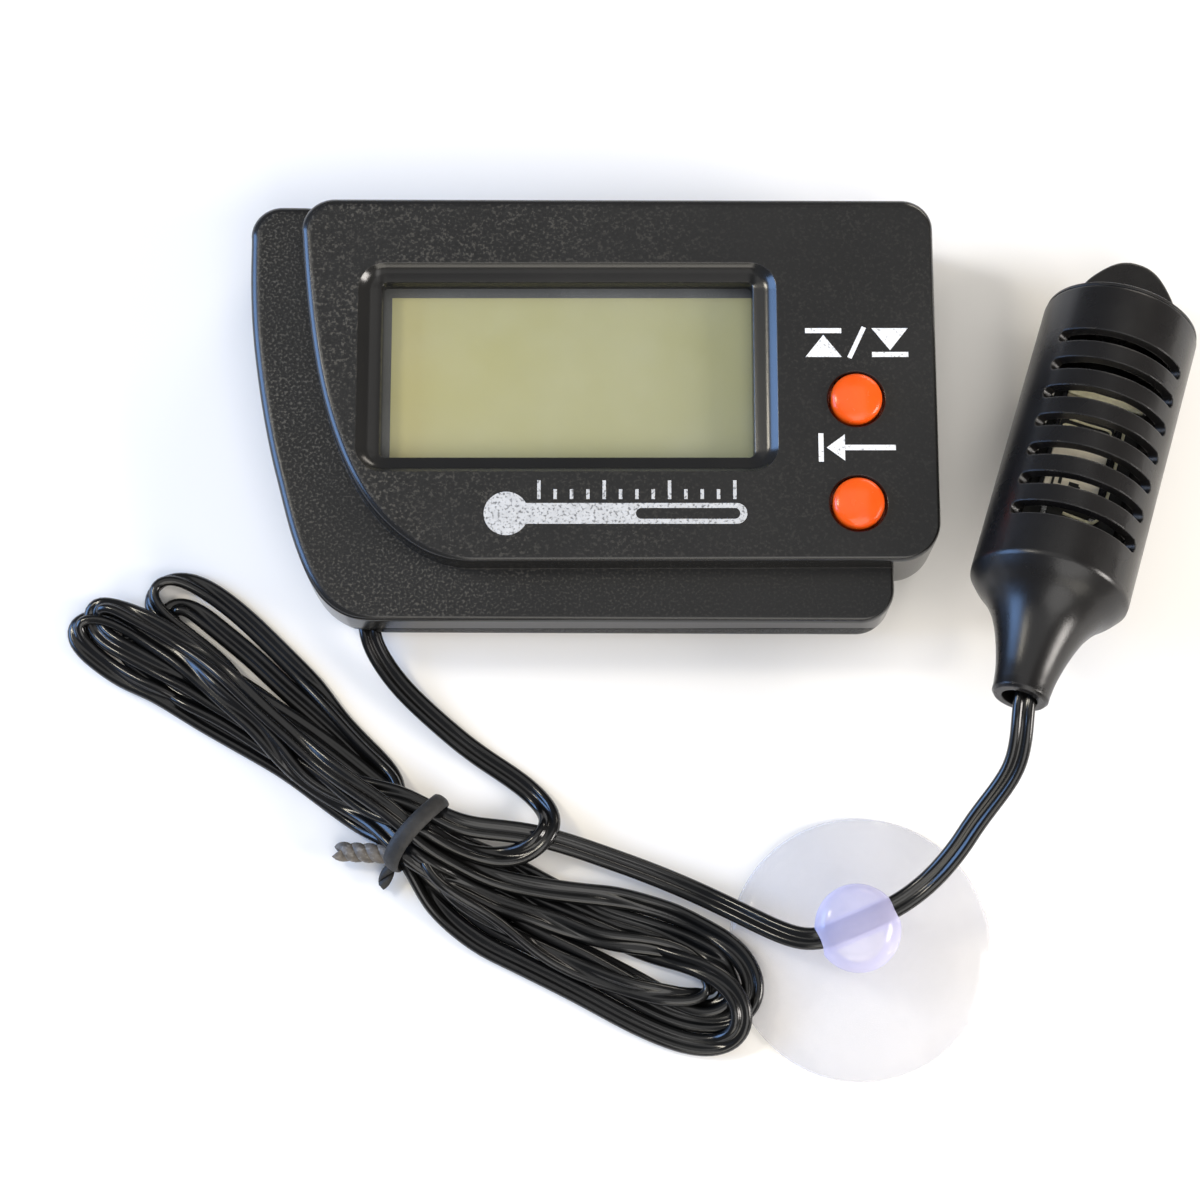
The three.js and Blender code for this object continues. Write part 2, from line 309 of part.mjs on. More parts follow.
// A cylinder between two points.
function rod(start, end, radius, segments) {
  const from = new THREE.Vector3(...start);
  const to = new THREE.Vector3(...end);
  const run = to.clone().sub(from);
  const middle = from.add(to).multiplyScalar(0.5);
  const geometry = new THREE.CylinderGeometry(radius, radius, run.length(), segments);
  const turn = new THREE.Quaternion().setFromUnitVectors(new THREE.Vector3(0, 1, 0), run.normalize());
  return solid(geometry.applyQuaternion(turn).translate(...middle));
}
function shapeOf(points) {
  return new THREE.Shape(points.map(([x, y]) => new THREE.Vector2(x, y)));
}
function slab(shape, [z0, z1], curveSegments) {
  const settings = { depth: z1 - z0, bevelEnabled: false, curveSegments };
  return new THREE.ExtrudeGeometry(shape, settings).translate(0, 0, z0);
}
const prism = (points, range) => solid(slab(shapeOf(points), range));
// A prism with its two rims eased by the given size.
function easedPrism(points, [z0, z1], ease) {
  return solid(
    new THREE.ExtrudeGeometry(shapeOf(points), {
      depth: z1 - z0 - 2 * ease,
      bevelThickness: ease,
      bevelSize: ease,
      bevelOffset: -ease,
      bevelSegments: 2,
    }).translate(0, 0, z0 + ease),
  );
}
function roundedRect(x, y, hx, hy, r) {
  const shape = new THREE.Shape();
  shape.moveTo(x - hx + r, y - hy);
  shape.lineTo(x + hx - r, y - hy);
  shape.absarc(x + hx - r, y - hy + r, r, -Math.PI / 2, 0, false);
  shape.lineTo(x + hx, y + hy - r);
  shape.absarc(x + hx - r, y + hy - r, r, 0, Math.PI / 2, false);
  shape.lineTo(x - hx + r, y + hy);
  shape.absarc(x - hx + r, y + hy - r, r, Math.PI / 2, Math.PI, false);
  shape.lineTo(x - hx, y - hy + r);
  shape.absarc(x - hx + r, y - hy + r, r, Math.PI, 1.5 * Math.PI, false);
  return shape;
}
// A profile of [radius, z] turned about the z axis.
function lathe(profile, segments) {
  const points = profile.map(([r, z]) => new THREE.Vector2(r, z));
  return new THREE.LatheGeometry(points, segments).rotateX(Math.PI / 2);
}
const union = (list) => list.reduce((a, b) => a.add(b));
const cut = (from, list) => list.reduce((a, b) => a.subtract(b), from);

// ---------- case ----------
// The space both shells stay in: side walls leaning inward towards the back, and the sloped -Y wall.
function draftedCase() {
  const body = new THREE.ExtrudeGeometry(shapeOf(CASE_OUTLINE), {
    depth: 10,
    bevelThickness: DRAFT.z,
    bevelSize: DRAFT.inset,
    bevelOffset: -DRAFT.inset,
    bevelSegments: 1,
  }).translate(0, 0, DRAFT.z);
  // drawn as [y, z] and run along X; the slope is carried on below the back face
  const below = 2;
  const slopeEnd = TOE.yBack + (below * (TOE.yBack - TOE.y)) / TOE.z;
  const outside = TOE.y - 4;
  const relief = shapeOf([[TOE.y, TOE.z], [outside, TOE.z], [outside, -below], [slopeEnd, -below]]);
  return solid(body).subtract(solid(slab(relief, WIDE).rotateX(Math.PI / 2).rotateZ(Math.PI / 2)));
}
const alongExit = (y0, y1, radius, segments) =>
  rod([EXIT.x, y0, EXIT.z], [EXIT.x, y1, EXIT.z], radius, segments);
// The lead's outlet, half in each shell, with the wider seat of the grommet flange.
const outlet = () => [alongExit(-23.6, -17.6, EXIT.bore, 18), alongExit(-18.4, -16, EXIT.seat, 18)];

// Bevelled recess and opening of the window.
function windowCuts() {
  // the bevel is made equal in x and y, then squeezed in y
  const stretch = WIN.bevelX / WIN.bevelY;
  const recess = new THREE.ExtrudeGeometry(roundedRect(0, 0, WIN.hx, WIN.hy * stretch, WIN.corner), {
    depth: 3,
    bevelThickness: WIN.depth,
    bevelSize: WIN.bevelX,
    bevelSegments: 1,
    curveSegments: 4,
  })
    .scale(1, 1 / stretch, 1)
    .translate(WIN.x, WIN.y, CASE_H);
  const opening = slab(roundedRect(WIN.x, WIN.y, WIN.hx, WIN.hy, WIN.corner), [9, 11], 4);
  return [solid(recess), solid(opening)];
}
function frontShell(envelope) {
  const ceiling = CASE_H - WALL;
  const stepCeiling = STEP_Z - WALL;
  const buttons = Object.values(BUTTON_Y).map((y) => [BUTTON.x, y]);
  const layer = easedPrism(CASE_OUTLINE, [0.6, STEP_Z], 0.8).intersect(box(WIDE, WIDE, [PART_Z, 20]));
  const hollow = cut(layer.add(easedPrism(PLATEAU_OUTLINE, [7.2, CASE_H], 0.9)), [
    prism(CASE_CAVITY, [PART_Z - 1, stepCeiling]),
    prism(PLATEAU_CAVITY, [stepCeiling - 0.5, ceiling]),
  ]);
  const frameShape = roundedRect(
    WIN.x, WIN.y, WIN.hx + FRAME.marginX, WIN.hy + FRAME.marginY, FRAME.corner,
  );
  const frame = solid(slab(frameShape, [FRAME.z, CASE_H - 0.5], 4));
  const { frontBoss, pilot } = CASE_SCREW;
  const shell = union([
    hollow,
    frame.intersect(prism(PLATEAU_OUTLINE, [9, CASE_H])),
    ...CASE_SCREWS.map(([x, y, top]) => cylinder([x, y], frontBoss, [PART_Z, top + 0.4], 16)),
    ...BOARD_SCREWS.map((at) => cylinder(at, BOARD_SCREW.post, [PCB.z1 + FIT, ceiling + 0.4], 14)),
    // collars round the button flanges
    ...buttons.map((at) =>
      cut(cylinder(at, COLLAR.outer, [COLLAR.z, ceiling + 0.2], 24), [
        cylinder(at, COLLAR.inner, [9, ceiling], 24),
      ]),
    ),
  ]);
  return cut(shell, [
    ...windowCuts(),
    ...buttons.map((at) => cylinder(at, BUTTON.hole / 2, [10, 15], 28)),
    ...CASE_SCREWS.map(([x, y, top]) => cylinder([x, y], pilot, [PART_Z - 1, top - 0.6], 12)),
    ...BOARD_SCREWS.map((at) => cylinder(at, BOARD_SCREW.pilot, [PCB.z1 - 1, 10.2], 12)),
    ...outlet(),
  ]).intersect(envelope);
}
function rearShell(envelope) {
  const atScrews = (radius, range, segments) =>
    CASE_SCREWS.map(([x, y]) => cylinder([x, y], radius, range, segments));
  const tray = easedPrism(CASE_OUTLINE, [0, 8], 0.6).intersect(box(WIDE, WIDE, [-1, PART_Z]));
  const lip = prism(LIP_OUTER, [FLOOR - 0.3, PART_Z + 1.2]).subtract(prism(LIP_INNER, [0, 8]));
  let shell = union([
    tray.subtract(prism(CASE_CAVITY, [FLOOR, 5])),
    lip,
    box([-14, 14], [-18.98, -6.25], [FLOOR - 0.3, 8.1]), // battery bay
  ]);
  // the lip gives way to the screw bosses and to the lead
  shell = cut(shell, [
    ...atScrews(CASE_SCREW.rearBoss + 0.05, [PART_Z, 6], 18),
    box(around(EXIT.x, 3), [-24, -15.5], [PART_Z, 6]),
  ]);
  shell = union([shell, ...atScrews(CASE_SCREW.rearBoss, [0.5, PART_Z], 18)]);
  const channelY = [-25, DOOR.y1 + DOOR.play];
  return cut(shell, [
    // round cell wells and slots for the contact tails
    ...[-1, 1].map((side) => cylinder([side * CELL.x, CELL.y], CELL.d / 2 + 0.15, [-1, 7.25], 28)),
    ...[-1, 1].map((side) => box(around(side * CELL.x, 1.7), [-9, -5], [6.75, 7.35])),
    // channel of the sliding door, with a groove for its two tongues
    box(around(0, DOOR.hx + DOOR.play), channelY, [-1, 1.52]),
    box(around(0, DOOR.hx + DOOR.tongue + DOOR.play), channelY, [0.4, 1.15]),
    ...atScrews(CASE_SCREW.clearance, [-1, 6], 12),
    ...atScrews(CASE_SCREW.counterbore, [-1, 1.4], 18),
    ...outlet(),
  ]).intersect(envelope);
}

// ---------- display ----------
const besideWindow = (left, right) => [WIN.x - left, WIN.x + right];
const acrossWindow = (low, high) => [WIN.y + low, WIN.y + high];

function displayWindow() {
  // the pane's -X -Y corner follows the curved wall
  const trim = slab(shapeOf(PLATEAU_CAVITY), [8, 12]).scale(0.985, 0.985, 1);
  const pane = box(besideWindow(20.3, 20.5), acrossWindow(-10.75, 10.75), [9.3, 10.18]);
  return pane.intersect(solid(trim));
}
// The lower glass is shorter than the upper glass: the ledge at +Y meets the elastomer strip.
function lcdCell() {
  const x = besideWindow(19.3, 19.75);
  const upper = box(x, acrossWindow(-10, 10.4), [8.65, 9.22]);
  return upper.add(box(x, acrossWindow(-10, 8.2), [8.1, 8.65]));
}
const lcdReflector = () => box(besideWindow(19.1, 19.4), acrossWindow(-9.7, 7.9), [7.85, 8.06]);
const zebraStrip = () =>
  box(besideWindow(18.5, 18.5), acrossWindow(8.5, 10.2), [PCB.z1 + FIT, 8.62]);

// ---------- circuit board and screws ----------
function circuitBoard() {
  const [screwX, screwY] = CASE_SCREWS[1];
  return cut(prism(BOARD_OUTLINE, [PCB.z0, PCB.z1]), [
    ...BOARD_SCREWS.map((at) => cylinder(at, BOARD_SCREW.boardHole, [4, 8], 14)),
    cylinder([screwX, screwY], 2.7, [4, 8], 18),
  ]);
}
function controllerBlob() {
  const dome = [[0, 3.98], [1.8, 4.05], [3.2, 4.3], [4.1, 4.75], [4.4, 5.19], [0, 5.19]];
  return solid(lathe(dome, 20).translate(-2, 5, 0));
}
function crossSlot([x, y], half, range) {
  return box(around(x, CROSS), around(y, half), range).add(
    box(around(x, half), around(y, CROSS), range),
  );
}
function boardScrew(at) {
  return cylinder(at, BOARD_SCREW.head, [4.0, PCB.z0 - FIT], 16)
    .subtract(crossSlot(at, 0.22, [3, 4.5]))
    .add(cylinder(at, BOARD_SCREW.shank, [5.0, 9.6], 10));
}
// Driven from the back.
function caseScrew([x, y, top]) {
  return cylinder([x, y], CASE_SCREW.head, [0.2, 1.38], 18)
    .subtract(crossSlot([x, y], 0.25, [-1, 0.75]))
    .add(cylinder([x, y], CASE_SCREW.shank, [1.2, top - 1.2], 12));
}

// ---------- buttons and switches ----------
function button(y) {
  const r = BUTTON.d / 2;
  const flange = BUTTON.flange / 2;
  const profile = [
    [0, BUTTON.flangeZ], [flange, BUTTON.flangeZ], [flange, 11.0], [r, 11.0], [r, 13.15],
    [r - 0.18, 13.5], [r - 0.7, 13.82], [r - 1.5, 14.0], [0, BUTTON.top],
  ];
  return solid(lathe(profile, 22).translate(BUTTON.x, y, 0));
}
function switchBody(y) {
  const body = box(around(BUTTON.x, 3), around(y, 3), [PCB.z1 + FIT, 9.5]);
  return body.subtract(cylinder([BUTTON.x, y], 1.75, [7.9, 11], 18));
}
const switchPlunger = (y) => cylinder([BUTTON.x, y], 1.55, [8.6, 10.15], 18);

// ---------- battery compartment ----------
function batteryDoor() {
  const plate = box(around(0, DOOR.hx), [DOOR.y0, DOOR.y1], [0, DOOR.t]);
  const tongues = box(
    around(0, DOOR.hx + DOOR.tongue), [DOOR.y0 + 1.2, DOOR.y1 - 0.8], [0.52, 1.02],
  );
  const grip = { n: 4, first: -17.6, pitch: 1.1, w: 0.5 }; // grooves in the outer face
  const grooves = Array.from({ length: grip.n }, (_, i) => {
    const y = grip.first + i * grip.pitch;
    return box([-5, 5], [y, y + grip.w], [-0.2, 0.3]);
  });
  return cut(plate.add(tongues), grooves);
}
const contactBridge = () =>
  box([-10.2, 10.2], around(CELL.y, 2), [DOOR.t + 0.01, DOOR.t + 0.2]);

function batteryCell(side) {
  const r = CELL.d / 2;
  const z = CELL.z;
  const profile = [
    [0, z], [r - 0.3, z], [r, z + 0.3], [r, z + 4.1], [r - 0.35, z + 4.5],
    [r - 0.75, z + 4.6], [r - 0.85, z + 5.35], [0, z + CELL.h],
  ];
  return solid(lathe(profile, 22).translate(side * CELL.x, CELL.y, 0));
}
// A square pad over the cell, with a tail bent down to the circuit board.
function cellContact(side) {
  const x = side * CELL.x;
  const { z0, z1, hx, tailY, t } = CONTACT;
  return union([
    box(around(x, 3), around(CELL.y, 3), [z0, z1]),
    box(around(x, hx), [CELL.y, tailY], [z0, z1]),
    box(around(x, hx), [tailY - t, tailY], [PCB.z1 + FIT, z1]),
  ]);
}

// ---------- lead ----------
// A path that carries the direction from core to core with it, for ExtrudeGeometry.
class TwinPath extends THREE.Curve {
  constructor(stations) {
    super();
    this.points = stations.map(([x, y, z]) => new THREE.Vector3(x, y, z));
    this.coreDirections = stations.map((row) => new THREE.Vector3(...row.slice(3)));
  }
  getSpacedPoints() {
    return this.points.map((point) => point.clone());
  }
  computeFrenetFrames() {
    const last = this.points.length - 1;
    const normals = [];
    const binormals = [];
    for (let i = 0; i <= last; i++) {
      const before = this.points[Math.max(i - 1, 0)];
      const after = this.points[Math.min(i + 1, last)];
      const tangent = new THREE.Vector3().subVectors(after, before).normalize();
      const normal = this.coreDirections[i].clone();
      normal.addScaledVector(tangent, -normal.dot(tangent)).normalize();
      normals.push(normal);
      binormals.push(new THREE.Vector3().crossVectors(tangent, normal));
    }
    return { normals, binormals };
  }
}
function twinLead(stations) {
  const { w, h } = LEAD;
  const section = shapeOf([
    [w / 2, 0], [w / 4, h / 2], [-w / 4, h / 2], [-w / 2, 0], [-w / 4, -h / 2], [w / 4, -h / 2],
  ]);
  const settings = { steps: stations.length - 1, extrudePath: new TwinPath(stations) };
  return solid(new THREE.ExtrudeGeometry(section, settings));
}
function cableGrommet() {
  const sleeve = alongExit(-19.7, -18.15, 1.7, 20);
  const flange = alongExit(-18.25, -17.45, 2.2, 20);
  return sleeve.add(flange).subtract(alongExit(-24.1, -15.1, 1.35, 16));
}
function twistTie() {
  const angle = Math.atan2(TIE.dy, TIE.dx);
  const ring = new THREE.Shape();
  ring.absellipse(0, 0, TIE.a + TIE.t, TIE.b + TIE.t, 0, 2 * Math.PI, false, 0);
  const hole = new THREE.Path();
  hole.absellipse(0, 0, TIE.a, TIE.b, 0, 2 * Math.PI, true, 0);
  ring.holes.push(hole);
  // shape x runs across the hank, shape y runs up
  const stand = new THREE.Matrix4().makeBasis(
    new THREE.Vector3(-Math.sin(angle), Math.cos(angle), 0),
    new THREE.Vector3(0, 0, 1),
    new THREE.Vector3(Math.cos(angle), Math.sin(angle), 0),
  );
  const strap = slab(ring, around(0, TIE.w / 2), 14).applyMatrix4(stand);
  return union([
    solid(strap.translate(TIE.x, TIE.y, TIE.z)),
    rod([-19.75, -43.75, 1.9], [-25.0, -42.6, 1.2], 0.8, 12),
    rod([-19.6, -43.9, 1.9], [-20.5, -45.8, 1.0], 0.75, 12),
  ]);
}
function suctionCup() {
  const profile = [
    [0, 1.9], [6.0, 1.45], [9.6, 0.6], [11.6, 0.0], [CUP.r, 0.0], [CUP.r, 0.45], [11.9, 0.95],
    [6.5, 2.3], [4.0, 2.95], [2.5, 3.8], [2.5, 4.6], [3.6, 5.3], [4.2, 6.4], [4.2, 7.4],
    [3.6, 8.5], [2.0, 9.2], [0, 9.4],
  ];
  // the cup leans: x and y shift with height
  const lean = new THREE.Matrix4().set(
    1, 0, CUP.shearX, 0,
    0, 1, CUP.shearY, 0,
    0, 0, 1, 0,
    0, 0, 0, 1,
  );
  const body = lathe(profile, 30).applyMatrix4(lean).translate(CUP.x, CUP.y, 0);
  const centre = new THREE.Vector3(CUP_HOLE.x, CUP_HOLE.y, CUP_HOLE.z);
  const reach = new THREE.Vector3(CUP_HOLE.dx, CUP_HOLE.dy, 0).setLength(CUP_HOLE.length / 2);
  const hole = rod(centre.clone().sub(reach), centre.clone().add(reach), CUP_HOLE.r, 18);
  return solid(body).subtract(hole);
}

// ---------- probe, built along its own axis: z runs from the cap to the neck ----------
function probeGroup() {
  const azimuth = THREE.MathUtils.degToRad(PROBE.azimuth);
  const rise = THREE.MathUtils.degToRad(PROBE.rise);
  const along = new THREE.Vector3(
    -Math.cos(rise) * Math.cos(azimuth),
    -Math.cos(rise) * Math.sin(azimuth),
    Math.sin(rise),
  );
  const up = new THREE.Vector3(0, 0, 1).addScaledVector(along, -along.z).normalize();
  const across = new THREE.Vector3().crossVectors(up, along);
  const group = new THREE.Group();
  group.matrixAutoUpdate = false;
  group.matrix.makeBasis(across, up, along).setPosition(PROBE.x, PROBE.y, PROBE.z);
  return group;
}
function probeBarrel() {
  const { r, bore, neck, body, length } = PROBE;
  const profile = [
    [bore, 0], [r - 0.35, 0], [r, 0.35], [r, body], [r - 0.9, body + 1.0], [r - 2.1, body + 2.2],
    [r - 3.2, body + 3.9], [r - 4.1, body + 6.2], [neck + 0.25, body + 8.8], [neck, length],
    [2.0, length], [2.0, body + 9.5], [2.6, body + 6.2], [4.3, body + 2.9], [bore, body - 0.2],
    [bore, 0],
  ];
  const half = THREE.MathUtils.degToRad(SLOT.half);
  const slots = [];
  for (const side of [0, 1]) {
    const middle = Math.PI / 2 + THREE.MathUtils.degToRad(SLOT.centre) + side * Math.PI;
    const sector = new THREE.Shape();
    sector.absarc(0, 0, r + 1, middle - half, middle + half, false);
    sector.absarc(0, 0, 5.2, middle + half, middle - half, true);
    for (let i = 0; i < SLOT.n; i++) {
      slots.push(solid(slab(sector, around(SLOT.first + i * SLOT.pitch, SLOT.h / 2), 5)));
    }
  }
  return cut(solid(lathe(profile, 28)), slots);
}
function probeEndCap() {
  const profile = [
    [0, -1.15], [5.6, -1.15], [7.2, -0.7], [PROBE.r - 0.1, -0.02], [6.55, -0.02],
    [6.55, 2.6], [5.6, 2.6], [5.6, 0.6], [0, 0.6],
  ];
  // tab outline: a rounded triangle with an eye, mirrored about its tip
  const side = [[-5.7, -0.8], [-5.25, -2.2], [-4.5, -3.95], [-3.5, -5.4], [-2.35, -6.6], [-1.2, -7.25]];
  const mirrored = side.map(([x, y]) => [-x, y]).reverse();
  const outline = shapeOf([...side, [0, -7.42], ...mirrored]);
  const eye = new THREE.Path();
  eye.absarc(0, -3.3, 0.9, 0, 2 * Math.PI, true);
  outline.holes.push(eye);
  // the tab stands in the plane of the across axis and the probe's own axis
  const tab = slab(outline, around(0, 1.1), 6).rotateX(Math.PI / 2);
  return solid(lathe(profile, 24)).add(solid(tab));
}
const PROBE_BOARD = { hx: 4.6, hy: 0.5, z: [9.0, 32.4] };
const ON_BOARD = PROBE_BOARD.hy + FIT; // y where parts on the probe board start
const SENSOR = { x0: -3.4, x1: 2.0, z0: 9.6, z1: 21.2 };

// A box over the sensor's area, larger by the margin all round.
function overSensor(margin, y) {
  const x = [SENSOR.x0 - margin, SENSOR.x1 + margin];
  return box(x, y, [SENSOR.z0 - margin, SENSOR.z1 + margin]);
}
const sensorFrame = () => overSensor(0.5, [ON_BOARD, 1.75]).subtract(overSensor(0.1, [0.7, 3]));
const sensorPin = (x) => box(around(x, 0.25), [ON_BOARD, 1.0], [22.3, 27.2]);
const thermistor = () =>
  solid(new THREE.SphereGeometry(1.1, 10, 7).scale(1, 1, 1.35).translate(3.0, 1.75, 28.6));

// ---------- materials ----------
const MATERIALS = {
  shell: { color: 0x33322f, roughness: 0.55 },
  orange: { color: 0xe2501e, roughness: 0.38 },
  window: { color: 0xdfe6e2, roughness: 0.06, transparent: true, opacity: 0.3 },
  lcd: { color: 0x9c9468, roughness: 0.3 },
  reflector: { color: 0xb0aa84, roughness: 0.4, metalness: 0.3 },
  elastomer: { color: 0xc8a6b4, roughness: 0.7 },
  pcb: { color: 0x1f5a34, roughness: 0.45 },
  epoxy: { color: 0x0c0c0d, roughness: 0.3 },
  steel: { color: 0xb9bcc0, roughness: 0.3, metalness: 1 },
  tan: { color: 0xb7905c, roughness: 0.5 },
  cable: { color: 0x0d0d0e, roughness: 0.28 },
  tie: { color: 0x35332f, roughness: 0.7 },
  pvc: { color: 0xe8e8ee, roughness: 0.1, transparent: true, opacity: 0.35 },
  probe: { color: 0x161617, roughness: 0.42 },
  sensor: { color: 0xd9cda6, roughness: 0.5 },
  bead: { color: 0x2b2f58, roughness: 0.35 },
};

// ---------- assembly ----------
const root = new THREE.Group();
function add(name, shape, material, parent = root) {
  const surface = new THREE.MeshStandardMaterial(MATERIALS[material]);
  const mesh = new THREE.Mesh(geometryOf(shape), surface);
  mesh.name = name;
  parent.add(mesh);
}

const envelope = draftedCase();
add("front_shell", frontShell(envelope), "shell");
add("rear_shell", rearShell(envelope), "shell");
add("display_window", displayWindow(), "window");
add("lcd_cell", lcdCell(), "lcd");
add("lcd_reflector", lcdReflector(), "reflector");
add("zebra_strip", zebraStrip(), "elastomer");

add("circuit_board", circuitBoard(), "pcb");
add("controller_blob", controllerBlob(), "epoxy");
add("crystal_can", rod([9, 9, 4.15], [15, 9, 4.15], 1.0, 14), "steel");
add("board_capacitor", box([10.4, 13.6], [2.0, 3.7], [4.2, PCB.z0 - FIT]), "tan");
BOARD_SCREWS.forEach((at, i) => add(`board_screw_${i + 1}`, boardScrew(at), "steel"));

for (const [name, y] of Object.entries(BUTTON_Y)) {
  add(`${name}_button`, button(y), "orange");
  add(`${name}_switch`, switchBody(y), "epoxy");
  add(`${name}_switch_plunger`, switchPlunger(y), "steel");
}

add("battery_door", batteryDoor(), "shell");
add("contact_bridge", contactBridge(), "steel");
add("battery_cell_1", batteryCell(-1), "steel");
add("battery_cell_2", batteryCell(1), "steel");
add("contact_positive", cellContact(-1), "steel");
add("contact_negative", cellContact(1), "steel");
CASE_SCREWS.forEach((screw, i) => add(`case_screw_${i + 1}`, caseScrew(screw), "steel"));

add("cable", twinLead(CABLE_STATIONS), "cable");
add("cable_grommet", cableGrommet(), "cable");
add("twist_tie", twistTie(), "tie");
add("suction_cup", suctionCup(), "pvc");

const probe = probeGroup();
root.add(probe);
add("probe_barrel", probeBarrel(), "probe", probe);
add("probe_end_cap", probeEndCap(), "probe", probe);
const probeBoard = box(around(0, PROBE_BOARD.hx), around(0, PROBE_BOARD.hy), PROBE_BOARD.z);
add("probe_board", probeBoard, "pcb", probe);
add("humidity_sensor", overSensor(0, [0.75, 1.4]), "sensor", probe);
add("sensor_frame", sensorFrame(), "epoxy", probe);
add("sensor_pin_1", sensorPin(-2.66), "steel", probe);
add("sensor_pin_2", sensorPin(2.1), "steel", probe);
add("thermistor", thermistor(), "bead", probe);
add("probe_resistor", box([-3.6, -1.6], [ON_BOARD, 1.1], [28.2, 29.4]), "tan", probe);
add("probe_lead", twinLead(PROBE_LEAD_STATIONS), "cable");

export default root;
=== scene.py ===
"""Weather station: a display case with two orange keys, a coiled twin lead held by a twist tie,
a clear suction cup and a slotted probe.

Shapes are worked out in millimetres and scaled to metres when finished. The case lies on its
back on z = 0 with its display facing +z. Front is -y, back is +y, left is -x, right is +x.
"""

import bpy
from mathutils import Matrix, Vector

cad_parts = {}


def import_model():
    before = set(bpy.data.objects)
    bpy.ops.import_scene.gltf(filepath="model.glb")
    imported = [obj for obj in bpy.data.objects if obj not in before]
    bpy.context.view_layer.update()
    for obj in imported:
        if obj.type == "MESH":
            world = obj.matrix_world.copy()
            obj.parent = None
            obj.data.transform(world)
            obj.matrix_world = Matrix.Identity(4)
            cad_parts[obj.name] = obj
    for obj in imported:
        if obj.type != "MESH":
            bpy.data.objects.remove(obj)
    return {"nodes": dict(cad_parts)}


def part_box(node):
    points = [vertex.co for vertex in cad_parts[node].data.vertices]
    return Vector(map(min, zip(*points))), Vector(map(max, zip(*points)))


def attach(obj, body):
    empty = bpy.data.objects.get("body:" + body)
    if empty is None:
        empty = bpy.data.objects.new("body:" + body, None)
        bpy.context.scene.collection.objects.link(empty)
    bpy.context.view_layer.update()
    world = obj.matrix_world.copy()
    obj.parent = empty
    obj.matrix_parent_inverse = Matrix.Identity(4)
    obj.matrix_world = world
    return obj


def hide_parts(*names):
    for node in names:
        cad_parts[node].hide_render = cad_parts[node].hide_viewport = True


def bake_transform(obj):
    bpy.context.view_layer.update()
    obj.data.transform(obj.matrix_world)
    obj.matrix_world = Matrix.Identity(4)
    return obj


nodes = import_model()["nodes"]

import functools
import math

import bpy
import numpy as np
from mathutils import Matrix, Vector

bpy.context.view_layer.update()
MM = 0.001


# ------------------------------------------------------------------ measured tables
def table(text, columns):
    """Rows of numbers from text: commas inside a row, blanks between rows."""
    return np.array(text.replace(",", " ").split(), float).reshape(-1, columns)


# Outlines in plan, counter-clockwise: x, y in mm.
# Back right corner, shared by the case and its raised plateau.
BACK_RIGHT_CORNER = table("""
34.36,18.736 34.353,18.939 34.333,19.141 34.3,19.342 34.254,19.539 34.195,19.734
34.124,19.924 34.04,20.108 33.944,20.287 33.837,20.46 33.718,20.625 33.59,20.782
33.451,20.93 33.303,21.068 33.145,21.197 32.98,21.315 32.808,21.422 32.629,21.518
32.444,21.601 32.254,21.673 32.059,21.732 31.862,21.777 31.661,21.81 31.459,21.83
31.256,21.836""", 2)
